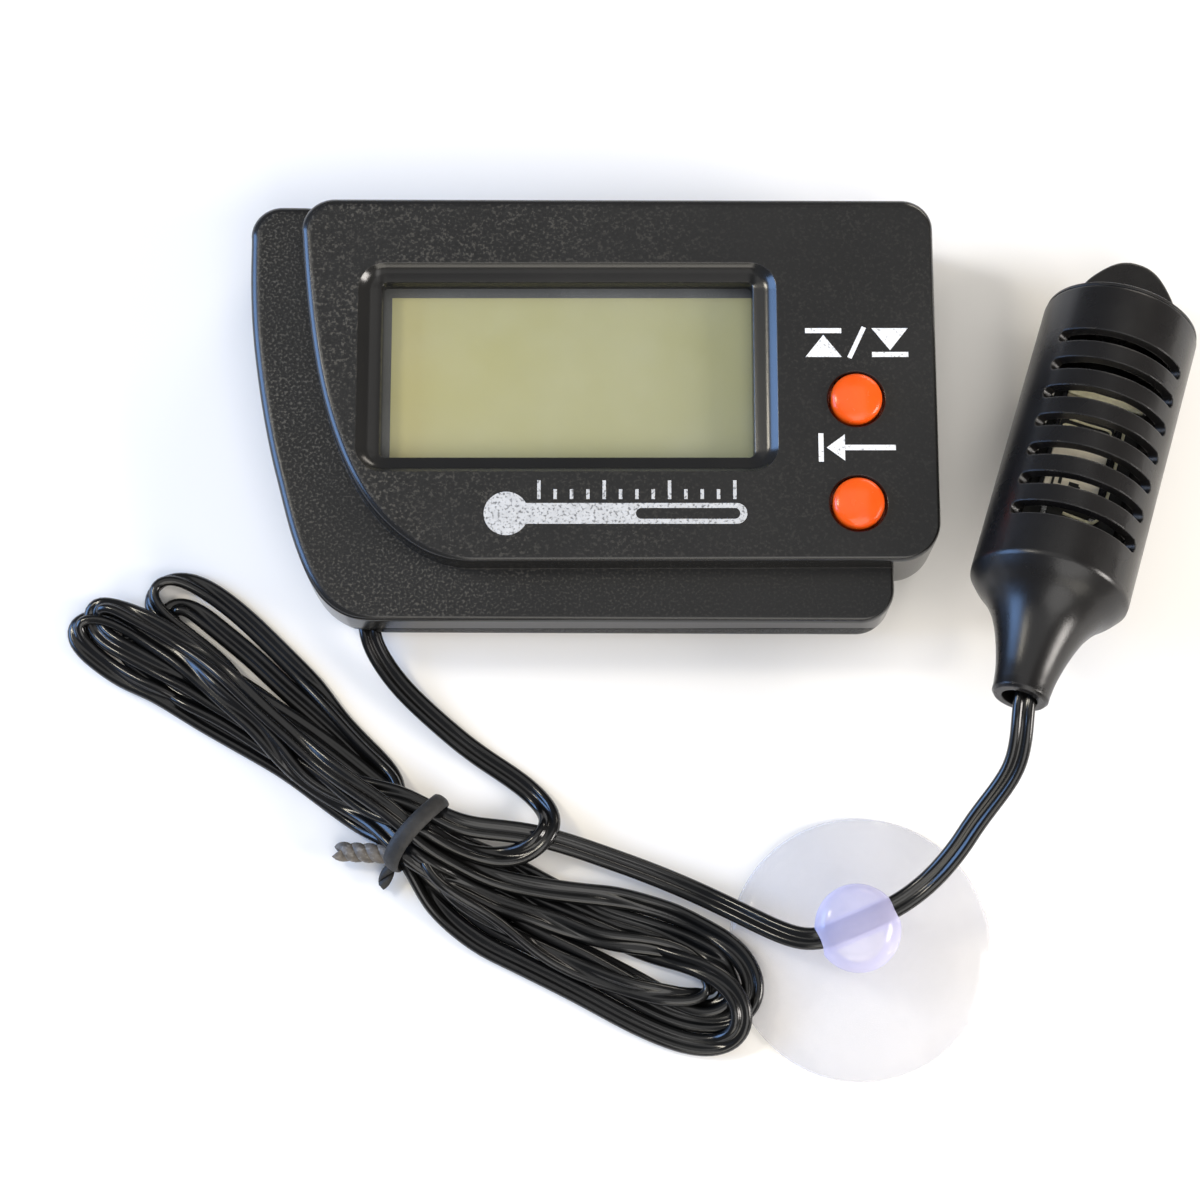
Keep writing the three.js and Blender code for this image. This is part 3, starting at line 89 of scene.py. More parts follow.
# Outside of the case.
OUTER = np.vstack([table("""
26.555,-21.065 26.778,-21.058 27,-21.037 27.22,-21.002 27.438,-20.952 27.651,-20.888
27.861,-20.81 28.064,-20.719 28.261,-20.614 28.451,-20.497 28.633,-20.367 28.806,-20.226
28.969,-20.074 29.122,-19.912 29.264,-19.74 29.394,-19.558 29.512,-19.369 29.617,-19.172
29.71,-18.969 29.789,-18.761 29.853,-18.547 29.904,-18.33 29.941,-18.11 29.963,-17.888
29.97,-17.665 29.97,-15.6 30.26,-15.6 30.528,-15.591 30.795,-15.565 31.06,-15.521
31.321,-15.46 31.578,-15.382 31.829,-15.288 32.073,-15.177 32.31,-15.051 32.538,-14.909
32.756,-14.753 32.963,-14.583 33.159,-14.399 33.343,-14.203 33.513,-13.996 33.669,-13.778
33.811,-13.55 33.937,-13.313 34.048,-13.069 34.142,-12.818 34.22,-12.561 34.281,-12.3
34.325,-12.035 34.351,-11.768 34.36,-11.5""", 2), BACK_RIGHT_CORNER, table("""
-26.2,22 -28.9,22.24 -31.317,22.269 -31.521,22.263 -31.725,22.243 -31.926,22.21
-32.125,22.164 -32.321,22.105 -32.512,22.034 -32.698,21.95 -32.878,21.853 -33.052,21.746
-33.217,21.627 -33.375,21.497 -33.524,21.357 -33.663,21.208 -33.793,21.05 -33.911,20.883
-34.018,20.71 -34.114,20.529 -34.198,20.343 -34.269,20.151 -34.327,19.956 -34.372,19.756
-34.404,19.555 -34.423,19.351 -34.428,19.147 -34.4,18.9 -34.387,18.041 -34.367,15.463
-34.34,14.175 -34.309,13.316 -34.267,12.458 -34.216,11.6 -34.157,10.742 -34.089,9.886
-34.01,9.03 -33.871,7.749 -33.764,6.896 -33.649,6.045 -33.401,4.344 -33.133,2.646
-32.914,1.376 -32.594,-0.312 -32.248,-1.996 -32.065,-2.835 -31.873,-3.673 -31.565,-4.924
-30.35,-9.492 -30.123,-10.32 -29.758,-11.557 -29.494,-12.374 -29.21,-13.185 -29.06,-13.588
-28.747,-14.388 -28.418,-15.182 -28.245,-15.576 -28.064,-15.966 -27.874,-16.351
-27.673,-16.731 -27.46,-17.104 -27.236,-17.471 -26.999,-17.83 -26.748,-18.18
-26.48,-18.517 -26.194,-18.837 -25.886,-19.137 -25.559,-19.417 -25.215,-19.676
-24.854,-19.912 -24.478,-20.125 -24.09,-20.312 -23.69,-20.469 -23.28,-20.595
-22.862,-20.691 -22.437,-20.762 -22.007,-20.811 -21.574,-20.842 -21.139,-20.859
-20.705,-20.867 -19.418,-20.871 -19,-20.88""", 2)])
# Raised plateau of the front shell.
PLATEAU = np.vstack([table("""
-11,-15.72 30.265,-15.605 30.533,-15.596 30.799,-15.569 31.064,-15.525 31.325,-15.464
31.581,-15.386 31.832,-15.291 32.076,-15.18 32.313,-15.054 32.54,-14.912 32.758,-14.756
32.965,-14.586 33.161,-14.402 33.344,-14.206 33.514,-13.999 33.67,-13.781 33.811,-13.553
33.938,-13.317 34.048,-13.073 34.143,-12.822 34.221,-12.565 34.281,-12.304 34.325,-12.04
34.351,-11.773 34.36,-11.505""", 2), BACK_RIGHT_CORNER, table("""
-25.685,21.997 -25.904,21.991 -26.122,21.971 -26.338,21.936 -26.552,21.887 -26.761,21.824
-26.967,21.747 -27.166,21.657 -27.359,21.554 -27.545,21.438 -27.723,21.31 -27.892,21.17
-28.051,21.02 -28.2,20.859 -28.338,20.689 -28.465,20.51 -28.579,20.323 -28.68,20.129
-28.769,19.929 -28.844,19.723 -28.905,19.513 -28.952,19.299 -28.985,19.082 -29.003,18.864
-29.007,18.645 -28.98,18.5 -28.807,16.367 -28.609,14.237 -28.442,12.641 -28.321,11.578
-28.192,10.516 -28.054,9.455 -27.83,7.865 -27.666,6.808 -27.488,5.752 -27.294,4.7
-27.083,3.651 -26.853,2.606 -26.602,1.565 -26.468,1.047 -26.183,0.015 -25.876,-1.01
-25.544,-2.028 -25.368,-2.533 -24.998,-3.538 -24.802,-4.036 -24.6,-4.531 -24.389,-5.023
-24.171,-5.512 -23.945,-5.997 -23.711,-6.479 -23.468,-6.956 -23.215,-7.429 -22.952,-7.896
-22.678,-8.357 -22.393,-8.809 -22.095,-9.254 -21.785,-9.689 -21.46,-10.115 -21.123,-10.53
-20.773,-10.935 -20.411,-11.33 -20.038,-11.715 -19.653,-12.09 -19.258,-12.454
-18.853,-12.807 -18.438,-13.149 -18.012,-13.476 -17.574,-13.788 -17.126,-14.081
-16.665,-14.354 -16.192,-14.605 -15.707,-14.831 -15.209,-15.032 -14.702,-15.209
-14.186,-15.359 -13.664,-15.485 -13.135,-15.584 -12.603,-15.658 -12.069,-15.705
-11.534,-15.726""", 2)])
# Inside of the case wall.
OUTER_IN = table("""
26.668,-19.261 27.455,-18.997 28.047,-18.278 28.166,-17.77 28.179,-15.424 28.579,-14.458
29.447,-13.878 30.709,-13.755 31.537,-13.412 32.251,-12.65 32.539,-11.8 32.56,18.707
32.425,19.311 31.981,19.817 31.225,20.036 -26.205,20.2 -28.99,20.441 -31.301,20.468
-31.902,20.334 -32.411,19.887 -32.626,19.227 -32.527,13.811 -32.258,9.622 -31.426,3.357
-30.399,-2.033 -28.502,-9.429 -27.376,-12.951 -25.91,-16.189 -25.104,-17.356
-24.18,-18.201 -22.814,-18.856 -21.087,-19.06""", 2)
# Inside of the plateau wall.
PLATEAU_IN = table("""
-11.019,-13.92 30.232,-13.805 31.001,-13.681 31.661,-13.328 32.322,-12.521 32.56,-11.475
32.56,18.707 32.29,19.528 31.834,19.902 31.225,20.036 -25.664,20.197 -26.186,20.117
-26.623,19.884 -27.012,19.436 -27.204,18.781 -26.594,12.312 -25.803,6.579 -25.213,3.515
-24.454,0.513 -23.498,-2.414 -22.534,-4.765 -21.394,-6.995 -20.336,-8.62 -19.101,-10.095
-17.317,-11.74 -15.784,-12.784 -14.154,-13.494 -12.401,-13.869""", 2)
# Outside and inside of the upright lip on the rear shell.
LIP_OUT = table("""
26.659,-19.111 27.372,-18.872 27.908,-18.221 28.029,-15.409 28.463,-14.363 29.224,-13.798
30.679,-13.608 31.454,-13.287 32.121,-12.574 32.391,-11.78 32.41,18.704 32.29,19.245
31.898,19.692 31.223,19.886 -26.206,20.05 -28.998,20.291 -31.3,20.318 -31.836,20.199
-32.286,19.804 -32.475,19.236 -32.41,15.068 -32.109,9.636 -31.277,3.38 -30.252,-2.001
-28.357,-9.39 -27.236,-12.898 -25.781,-16.113 -24.989,-17.259 -24.094,-18.078
-22.775,-18.711 -21.083,-18.91""", 2)
LIP_IN = table("""
26.613,-18.362 26.994,-18.22 27.245,-17.846 27.322,-15.073 27.883,-13.887 28.937,-13.106
30.959,-12.711 31.423,-12.277 31.647,-11.683 31.66,18.692 31.481,19.068 -26.208,19.3
-29.036,19.541 -31.294,19.568 -31.661,19.389 -31.627,13.843 -31.282,8.884 -30.47,3.087
-29.43,-2.248 -27.524,-9.588 -26.391,-13.006 -24.957,-16.022 -24.242,-16.969
-23.446,-17.607 -22.338,-18.041 -20.675,-18.167""", 2)
# Stations of the twin lead, from the coil to the probe: x, y, z of its centre in hundredths
# of a millimetre, then the direction from core to core in hundredths.
LEAD_STATIONS = table("""
-2160,-560,440,100,-3,0 -2163,-660,436,100,-4,0 -2168,-760,428,100,-6,0
-2174,-859,419,100,-6,0 -2181,-959,408,100,-7,0 -2188,-1058,395,100,-7,0
-2195,-1156,380,100,-7,0 -2201,-1255,364,100,-6,0 -2206,-1354,347,100,-4,0
-2209,-1452,330,100,-3,0 -2212,-1551,315,100,-3,0 -2216,-1650,304,100,-5,0
-2222,-1750,302,100,-8,0 -2231,-1849,309,100,-9,0 -2240,-1947,318,100,-4,0
-2239,-2043,317,100,10,0 -2221,-2131,296,94,33,0 -2183,-2207,256,87,50,0
-2134,-2282,219,84,54,0 -2084,-2363,198,84,54,0 -2030,-2446,188,82,57,0
-1971,-2525,178,78,63,0 -1906,-2599,164,73,68,0 -1836,-2669,150,70,72,0
-1764,-2738,138,68,73,0 -1691,-2805,129,67,74,0 -1616,-2872,123,67,74,0
-1542,-2939,120,66,75,0 -1466,-3004,118,65,76,0 -1391,-3069,109,64,77,1
-1315,-3131,91,63,78,2 -1238,-3191,72,61,79,3 -1158,-3250,61,58,81,2
-1075,-3307,57,56,83,0 -991,-3362,57,54,84,0 -906,-3416,57,53,84,0
-821,-3469,57,55,84,0 -738,-3525,57,57,82,0 -657,-3585,58,62,78,2
-581,-3649,64,67,74,8 -512,-3718,79,69,70,20 -452,-3789,109,70,66,27
-406,-3860,158,79,59,19 -377,-3927,223,95,32,1 -365,-3991,296,98,-17,-14
-383,-4073,361,89,-44,-9 -437,-4154,370,77,-64,-3 -509,-4226,350,68,-65,-33
-587,-4282,312,59,-64,-48 -670,-4309,263,38,-86,-33 -760,-4325,224,14,-99,-8
-857,-4330,201,-3,-97,23 -956,-4326,195,-6,-85,52 -1057,-4316,200,-2,-73,68
-1153,-4295,222,10,-63,77 -1241,-4269,261,19,-61,77 -1327,-4239,308,15,-68,71
-1408,-4203,359,6,-72,69 -1487,-4154,411,0,-68,74 -1565,-4102,452,-6,-60,80
-1642,-4047,481,-12,-54,84 -1724,-3997,496,-33,-49,81 -1854,-3980,436,-28,-84,46
-1954,-3957,429,-33,-91,26 -2048,-3918,407,-42,-90,11 -2141,-3876,387,-43,-90,-10
-2233,-3825,373,-49,-82,-29 -2315,-3763,362,-58,-75,-32 -2392,-3695,355,-63,-72,-28
-2469,-3624,350,-63,-71,-31 -2545,-3553,342,-58,-71,-39 -2623,-3485,325,-56,-78,-30
-2702,-3424,300,-56,-82,-11 -2785,-3367,274,-54,-84,-1 -2871,-3314,253,-51,-86,-1
-2959,-3263,239,-50,-86,-6 -3045,-3210,228,-52,-85,-4 -3131,-3157,217,-53,-84,5
-3217,-3103,207,-56,-80,22 -3299,-3044,199,-58,-75,31 -3377,-2983,195,-61,-76,24
-3455,-2922,192,-58,-81,9 -3539,-2868,194,-50,-86,-8 -3628,-2821,194,-46,-88,-13
-3713,-2774,180,-46,-88,15 -3804,-2732,176,-40,-81,43 -3892,-2684,182,-35,-67,65
-3974,-2629,190,-30,-55,78 -4056,-2573,195,-34,-55,76 -4143,-2522,190,-45,-70,56
-4230,-2474,179,-49,-82,29 -4317,-2427,168,-48,-87,11 -4406,-2380,161,-48,-88,6
-4494,-2331,158,-50,-86,7 -4579,-2279,160,-50,-86,6 -4664,-2232,162,-46,-89,4
-4754,-2189,165,-46,-89,1 -4843,-2140,149,-44,-85,-29 -4915,-2088,111,-53,-82,-22
-4982,-2032,79,-66,-74,-10 -5040,-1970,64,-80,-59,-11 -5079,-1899,70,-99,-14,-9
-5075,-1767,147,-96,28,8 -5019,-1721,184,-31,95,-1 -4939,-1722,211,30,44,-84
-4853,-1748,228,25,33,-91 -4765,-1788,235,30,54,-79 -4676,-1832,238,38,74,-55
-4587,-1875,242,42,86,-29 -4497,-1917,249,44,90,-7 -4404,-1963,254,46,89,2
-4314,-2012,256,50,86,4 -4228,-2064,253,54,84,1 -4146,-2120,251,56,82,-4
-4065,-2176,256,58,80,-16 -3984,-2233,269,58,72,-38 -3904,-2291,287,58,59,-56
-3827,-2352,308,59,51,-62 -3750,-2413,333,62,52,-58 -3675,-2477,358,66,60,-46
-3600,-2543,379,67,65,-35 -3526,-2612,392,66,67,-32 -3455,-2684,385,63,67,-38
-3383,-2755,377,63,68,-38 -3310,-2825,371,63,69,-36 -3236,-2894,367,61,69,-38
-3161,-2962,363,56,68,-47 -3083,-3027,359,52,66,-54 -3006,-3092,353,52,65,-55
-2931,-3158,349,60,67,-44 -2857,-3225,353,66,70,-26 -2783,-3291,368,68,74,-6
-2711,-3355,393,64,77,8 -2639,-3417,423,61,78,14 -2561,-3480,442,60,80,7
-2480,-3541,454,58,81,-4 -2396,-3599,460,57,80,-17 -2313,-3657,461,55,77,-31
-2230,-3716,465,55,74,-39 -2147,-3773,475,57,74,-36 -2064,-3829,495,60,75,-28
-1984,-3887,519,62,75,-23 -1905,-3947,538,62,72,-31 -1832,-4009,542,57,67,-47
-1758,-4109,485,29,66,-69 -1682,-4164,456,28,74,-61 -1603,-4219,423,23,79,-56
-1522,-4267,379,16,82,-55 -1444,-4314,330,2,71,-70 -1359,-4355,293,0,69,-73
-1273,-4396,252,8,75,-65 -1189,-4438,218,16,74,-65 -1102,-4479,197,21,78,-60
-1008,-4511,186,22,88,-42 -911,-4538,174,24,95,-19 -814,-4562,168,22,98,-2
-715,-4583,168,19,98,2 -616,-4601,168,18,98,0 -517,-4620,163,18,98,2
-417,-4637,164,16,99,2 -317,-4651,167,13,99,0 -217,-4663,164,12,99,-2
-116,-4675,157,10,99,-13 -14,-4685,154,7,97,-24 88,-4693,149,5,97,-24
190,-4699,138,6,100,-7 292,-4708,122,20,94,27 388,-4729,100,26,74,62
484,-4756,98,20,68,71 582,-4782,95,22,72,66 679,-4809,91,25,77,58
775,-4839,87,30,80,52 867,-4877,86,33,80,49 959,-4916,90,33,75,58
1048,-4965,97,31,65,69 1134,-5017,108,22,65,73 1216,-5068,137,20,72,66
1298,-5117,165,36,80,49 1381,-5175,192,60,78,17 1450,-5243,212,74,67,-1
1511,-5319,218,80,60,9 1566,-5400,223,86,49,15 1608,-5490,226,92,37,15
1639,-5584,227,99,7,13 1624,-5682,218,96,-27,12 1589,-5773,206,86,-50,7
1531,-5847,190,71,-70,0 1458,-5904,168,46,-89,6 1372,-5933,132,22,-97,-4
1277,-5943,96,10,-99,-9 1180,-5947,70,-2,-100,-2 1076,-5938,58,-12,-99,2
972,-5921,57,-22,-98,0 877,-5892,57,-33,-94,0 786,-5856,57,-38,-92,0
694,-5817,57,-41,-91,0 601,-5773,57,-45,-89,0 509,-5724,57,-48,-88,0
418,-5673,57,-49,-87,0 328,-5623,57,-48,-87,0 239,-5574,57,-49,-87,0
150,-5524,57,-48,-88,0 61,-5476,57,-47,-88,0 -28,-5429,57,-46,-89,0
-118,-5383,57,-45,-89,0 -208,-5338,57,-45,-89,0 -298,-5293,57,-45,-89,0
-389,-5247,57,-45,-90,0 -480,-5202,57,-44,-90,0 -572,-5157,57,-44,-90,0
-664,-5112,57,-43,-90,0 -755,-5069,57,-36,-93,0 -847,-5041,57,-31,-95,0
-944,-5009,57,-48,-88,5 -1030,-4940,85,-59,-66,-46 -1123,-4877,97,-45,-55,-70
-1207,-4815,101,-42,-50,-76 -1284,-4759,109,-40,-40,-82 -1355,-4697,114,-47,-41,-78
-1418,-4626,120,-64,-48,-60 -1484,-4550,136,-66,-63,-42 -1561,-4506,166,-62,-77,-10
-1635,-4438,210,-55,-72,42 -1679,-4363,255,-46,-67,58 -1739,-4288,301,-28,-62,73
-1837,-4229,309,-43,-60,68 -1919,-4168,293,-57,-72,40 -2008,-4121,256,-55,-78,30
-2093,-4078,207,-50,-86,10 -2179,-4033,161,-44,-90,-7 -2265,-3987,117,-47,-88,-12
-2349,-3932,82,-57,-82,-7 -2430,-3868,63,-61,-79,-2 -2513,-3804,57,-59,-80,0
-2599,-3743,57,-59,-81,0 -2684,-3681,57,-60,-80,0 -2767,-3616,57,-62,-79,0
-2849,-3552,57,-61,-79,0 -2932,-3489,57,-59,-81,0 -3016,-3429,57,-55,-83,0
-3102,-3375,57,-52,-86,0 -3191,-3324,57,-49,-87,0 -3281,-3274,57,-49,-87,0
-3370,-3224,57,-49,-87,0 -3459,-3174,57,-49,-87,0 -3547,-3124,57,-49,-87,0
-3635,-3074,57,-49,-87,0 -3724,-3024,57,-49,-87,0 -3814,-2974,57,-49,-87,0
-3906,-2922,57,-50,-86,0 -3997,-2868,57,-53,-85,0 -4084,-2811,59,-55,-84,3
-4166,-2757,65,-50,-86,10 -4259,-2701,141,-57,-72,-39 -4343,-2659,143,-30,-74,-61
-4429,-2619,126,-19,-73,-66 -4518,-2582,110,-17,-72,-67 -4607,-2547,94,-23,-76,-61
-4693,-2507,83,-37,-82,-44 -4778,-2454,68,-54,-82,-19 -4862,-2389,59,-62,-78,-4
-4936,-2329,57,-58,-82,0 -5019,-2278,57,-56,-83,0 -5099,-2219,57,-65,-76,0
-5173,-2147,62,-74,-66,-8 -5232,-2072,76,-85,-41,-32 -5260,-1987,87,-85,-2,-52
-5250,-1905,98,-59,37,-72 -5199,-1845,111,-17,49,-86 -5091,-1832,109,1,48,-88
-4951,-1843,115,12,54,-83 -4868,-1865,120,28,62,-73 -4780,-1901,130,40,74,-54
-4689,-1947,142,47,80,-37 -4601,-1997,151,52,83,-21 -4514,-2052,160,56,82,-9
-4432,-2112,165,57,81,-13 -4348,-2169,171,56,79,-24 -4265,-2225,180,55,73,-40
-4183,-2282,191,55,64,-53 -4104,-2340,209,60,61,-51 -4029,-2400,232,67,68,-28
-3958,-2465,254,67,74,11 -3888,-2534,272,56,70,45 -3812,-2603,284,51,66,56
-3739,-2673,299,50,64,58 -3663,-2744,311,57,68,46 -3584,-2808,306,61,76,24
-3504,-2869,300,61,79,3 -3424,-2932,299,64,76,-14 -3347,-3000,302,68,68,-28
-3277,-3074,310,72,63,-29 -3210,-3153,315,76,63,-16 -3145,-3233,314,77,63,9
-3080,-3312,308,73,55,42 -3015,-3391,296,64,41,65 -2949,-3470,279,59,33,74
-2877,-3537,251,52,29,81 -2795,-3592,223,42,29,86 -2708,-3644,204,35,33,88
-2621,-3699,194,30,37,88 -2531,-3747,187,29,55,78 -2441,-3791,191,28,74,62
-2351,-3832,208,34,85,40 -2264,-3879,231,47,87,16 -2182,-3932,258,58,82,1
-2107,-3992,296,68,73,-7 -2040,-4057,340,76,64,-12 -1976,-4131,384,78,61,-13
-1908,-4210,418,76,64,-8 -1836,-4291,437,70,71,6 -1760,-4360,440,58,68,45
-1683,-4418,432,52,48,71 -1580,-4453,371,64,44,63 -1483,-4496,284,62,64,45
-1409,-4537,256,51,85,14 -1330,-4579,238,38,84,-38 -1247,-4627,218,26,78,-57
-1157,-4666,199,25,80,-55 -1066,-4707,185,34,84,-44 -977,-4752,173,41,90,-16
-887,-4793,168,38,92,-12 -797,-4825,181,32,88,-35 -697,-4852,196,26,80,-53
-597,-4878,197,22,85,-48 -502,-4907,188,25,91,-34 -407,-4938,179,31,94,-17
-313,-4972,172,35,93,11 -219,-5007,167,34,82,45 -127,-5042,158,32,66,68
-36,-5080,152,23,60,77 56,-5114,158,12,64,76 151,-5140,174,4,72,69
250,-5154,188,4,84,54 355,-5161,191,8,92,39 456,-5171,188,12,97,23
554,-5185,187,16,98,11 650,-5201,185,11,99,11 769,-5202,125,32,69,65
861,-5236,118,28,63,73 952,-5271,114,28,57,77 1039,-5310,108,26,45,85
1118,-5364,112,-6,5,100 1192,-5428,123,-72,-42,56 1221,-5491,150,-98,-18,-10
1214,-5562,153,-98,15,9 1199,-5638,152,-49,28,82 1139,-5688,151,29,-44,85
1055,-5706,166,23,-70,67 964,-5706,193,16,-70,69 867,-5699,216,4,-78,63
769,-5684,233,-10,-95,31 669,-5671,236,-15,-99,-6 571,-5654,230,-16,-91,-39
473,-5631,220,-16,-80,-57 375,-5602,211,-18,-74,-65 279,-5570,204,-21,-75,-63
182,-5538,199,-23,-80,-55 87,-5505,191,-27,-87,-42 -8,-5469,179,-35,-91,-22
-101,-5428,168,-40,-92,-3 -194,-5387,164,-41,-91,12 -286,-5345,168,-40,-88,24
-377,-5301,176,-38,-82,42 -467,-5253,185,-34,-70,63 -554,-5201,193,-26,-52,81
-640,-5146,198,-16,-34,93 -725,-5090,204,-2,-16,99 -812,-5037,212,9,6,99
-901,-4982,214,22,20,96 -991,-4941,234,42,52,75 -1083,-4889,249,48,57,67
-1171,-4830,268,49,47,73 -1258,-4774,294,49,36,79 -1343,-4724,326,50,23,83
-1426,-4673,366,43,0,90 -1503,-4604,403,-18,-39,90 -1562,-4522,404,-76,-8,65
-1587,-4386,332,-75,9,65 -1610,-4294,318,-71,-26,65 -1661,-4206,323,-60,-42,69
-1732,-4113,323,-64,-46,61 -1805,-4030,304,-59,-27,76 -1863,-3950,278,-59,-12,80
-1899,-3863,260,-23,15,96 -1900,-3739,236,18,18,97 -1872,-3614,209,-1,33,94
-1896,-3539,165,-50,18,85 -1955,-3469,129,-50,-14,86 -2024,-3400,114,-45,-38,81
-2094,-3333,115,-44,-48,76 -2168,-3266,115,-46,-50,74 -2241,-3197,115,-48,-49,73
-2312,-3125,115,-48,-46,74 -2383,-3052,114,-47,-44,77 -2452,-2977,113,-46,-40,79
-2522,-2902,109,-45,-34,82 -2584,-2823,104,-52,-34,78 -2643,-2743,97,-61,-39,69
-2703,-2664,88,-70,-48,53 -2766,-2588,76,-73,-61,32 -2836,-2517,64,-70,-70,13
-2909,-2448,58,-69,-72,2 -2980,-2378,57,-70,-71,0 -3051,-2308,57,-70,-71,0
-3122,-2238,57,-70,-71,0 -3193,-2167,57,-70,-71,0 -3264,-2097,57,-70,-71,0
-3335,-2027,57,-70,-72,0 -3407,-1958,57,-69,-73,0 -3480,-1890,57,-67,-74,0
-3555,-1824,57,-66,-75,0 -3631,-1759,57,-64,-77,0 -3709,-1697,58,-61,-79,2
-3789,-1637,62,-57,-82,8 -3872,-1582,68,-52,-84,19 -3957,-1531,76,-42,-84,34
-4045,-1487,87,-28,-81,52 -4136,-1453,99,-10,-69,72 -4230,-1436,109,5,-46,89
-4322,-1443,114,8,-17,98 -4405,-1479,115,2,-3,100 -4465,-1545,114,11,-8,99
-4492,-1630,113,42,-1,91 -4483,-1719,121,67,29,69 -4444,-1801,138,73,58,37
-4382,-1869,157,65,76,5 -4299,-1927,163,57,82,10 -4215,-1986,157,58,81,6
-4134,-2045,151,60,80,2 -4053,-2107,148,61,79,0 -3973,-2170,147,62,79,-1
-3892,-2233,145,62,79,-3 -3812,-2296,144,62,78,-4 -3734,-2358,142,66,76,0
-3659,-2429,147,73,68,10 -3595,-2509,160,84,53,9 -3546,-2609,150,88,47,-2
-3499,-2692,138,81,49,31 -3440,-2768,124,67,48,57 -3369,-2839,112,53,49,69
-3290,-2904,106,46,53,72 -3210,-2968,105,42,54,73 -3128,-3030,106,40,54,74
-3047,-3091,106,38,52,77 -2967,-3151,107,37,48,80 -2891,-3214,107,38,47,80
-2815,-3277,109,38,52,76 -2740,-3338,117,43,60,67 -2663,-3401,124,51,64,57
-2586,-3468,125,57,63,52 -2510,-3542,126,55,65,52 -2432,-3609,137,56,74,38
-2352,-3673,148,58,72,38 -2278,-3736,146,64,65,42 -2173,-3798,68,57,82,-9
-2107,-3864,59,79,62,-3 -2060,-3943,60,87,49,-4 -2017,-4021,81,88,45,-17
-1972,-4091,121,86,43,-27 -1925,-4154,161,84,36,-40 -1882,-4227,188,84,32,-44
-1838,-4302,217,73,32,-60 -1787,-4363,232,52,36,-78 -1754,-4462,200,33,47,-82
-1712,-4544,158,22,52,-83 -1662,-4630,118,38,55,-74 -1605,-4712,89,59,60,-55
-1540,-4790,73,69,67,-27 -1469,-4864,62,68,73,-9 -1391,-4931,58,64,77,-1
-1310,-4995,57,62,78,0 -1229,-5058,57,62,78,0 -1150,-5122,57,61,79,0
-1069,-5181,57,52,85,0 -974,-5230,57,39,92,0 -874,-5264,57,37,93,0
-782,-5307,57,44,90,0 -691,-5354,57,45,89,0 -600,-5399,57,44,90,0
-509,-5444,57,44,90,0 -417,-5488,57,44,90,0 -326,-5533,57,44,90,0
-236,-5578,57,45,89,0 -146,-5623,57,46,89,0 -57,-5670,57,47,88,0
32,-5718,57,48,88,0 120,-5767,57,48,88,0 208,-5815,57,48,88,0
296,-5863,57,47,88,0 384,-5910,57,45,89,0 473,-5954,57,43,90,0
565,-5995,57,41,91,0 659,-6036,57,39,92,0 755,-6075,57,36,93,0
855,-6111,57,32,95,0 953,-6142,57,26,96,0 1047,-6164,57,14,99,0
1145,-6169,61,0,100,-2 1243,-6164,76,-10,99,5 1335,-6152,110,-39,87,29
1407,-6119,159,-72,56,41 1463,-6065,216,-88,32,35 1497,-5993,267,-96,16,22
1510,-5905,301,-100,1,2 1500,-5810,311,-97,-23,4 1466,-5719,319,-89,-43,15
1414,-5632,314,-78,-62,-2 1341,-5562,314,-61,-75,-26 1261,-5503,301,-47,-81,-36
1179,-5453,278,-38,-86,-33 1093,-5413,256,-28,-90,-34 1007,-5378,222,-12,-84,-53
915,-5349,195,-5,-76,-65 822,-5326,175,-2,-74,-67 732,-5305,152,4,-80,-60
638,-5259,73,-29,-93,-20 549,-5229,68,-31,-93,-18 454,-5197,71,-35,-90,-24
361,-5159,80,-41,-82,-40 273,-5115,90,-42,-70,-58 185,-5068,99,-36,-59,-73
91,-5023,104,-27,-57,-77 -4,-4984,103,-20,-61,-77 -100,-4951,97,-17,-70,-69
-196,-4923,88,-19,-82,-54 -290,-4895,77,-27,-90,-35 -380,-4860,68,-38,-90,-19
-466,-4817,60,-46,-89,-5 -550,-4772,57,-49,-87,0 -630,-4725,59,-52,-86,3
-714,-4673,57,-52,-85,0 -812,-4614,57,-51,-86,1 -900,-4563,60,-44,-90,5
-990,-4527,66,-35,-92,14 -1078,-4492,78,-31,-89,34 -1167,-4454,94,-23,-74,64
-1262,-4411,106,-28,-57,77 -1347,-4343,109,-38,-39,84 -1411,-4261,107,-30,-26,92
-1479,-4188,110,-17,-39,90 -1542,-4135,138,-17,-63,76 -1595,-4073,179,-43,-58,69
-1651,-4000,183,17,6,-98 -1715,-3923,167,12,-33,-94 -1768,-3846,113,29,-16,-94
-1816,-3790,113,-1,-37,-93 -1896,-3707,59,-69,-71,13 -1988,-3633,57,-70,-71,0
-2053,-3553,57,-75,-67,0 -2130,-3474,57,-71,-70,0 -2208,-3395,57,-70,-71,0
-2284,-3321,57,-69,-72,0 -2357,-3251,57,-69,-72,0 -2429,-3182,57,-70,-71,0
-2500,-3111,57,-71,-71,0 -2568,-3041,57,-71,-71,0 -2637,-2974,57,-68,-73,0
-2711,-2909,57,-65,-76,0 -2787,-2843,57,-65,-76,0 -2864,-2777,57,-65,-76,0
-2940,-2713,57,-64,-76,0 -3016,-2650,57,-65,-76,0 -3090,-2585,57,-68,-74,0
-3162,-2516,57,-70,-72,0 -3233,-2446,57,-70,-72,0 -3305,-2376,57,-69,-73,0
-3378,-2308,57,-67,-74,0 -3453,-2242,57,-65,-76,0 -3530,-2178,57,-64,-77,0
-3608,-2115,57,-62,-78,0 -3686,-2053,57,-62,-78,0 -3764,-1991,57,-63,-78,0
-3842,-1928,58,-64,-77,2 -3917,-1864,64,-63,-76,12 -3991,-1801,77,-54,-77,34
-4067,-1745,96,-27,-70,66 -4149,-1709,111,-14,-35,93 -4232,-1706,86,5,-88,48
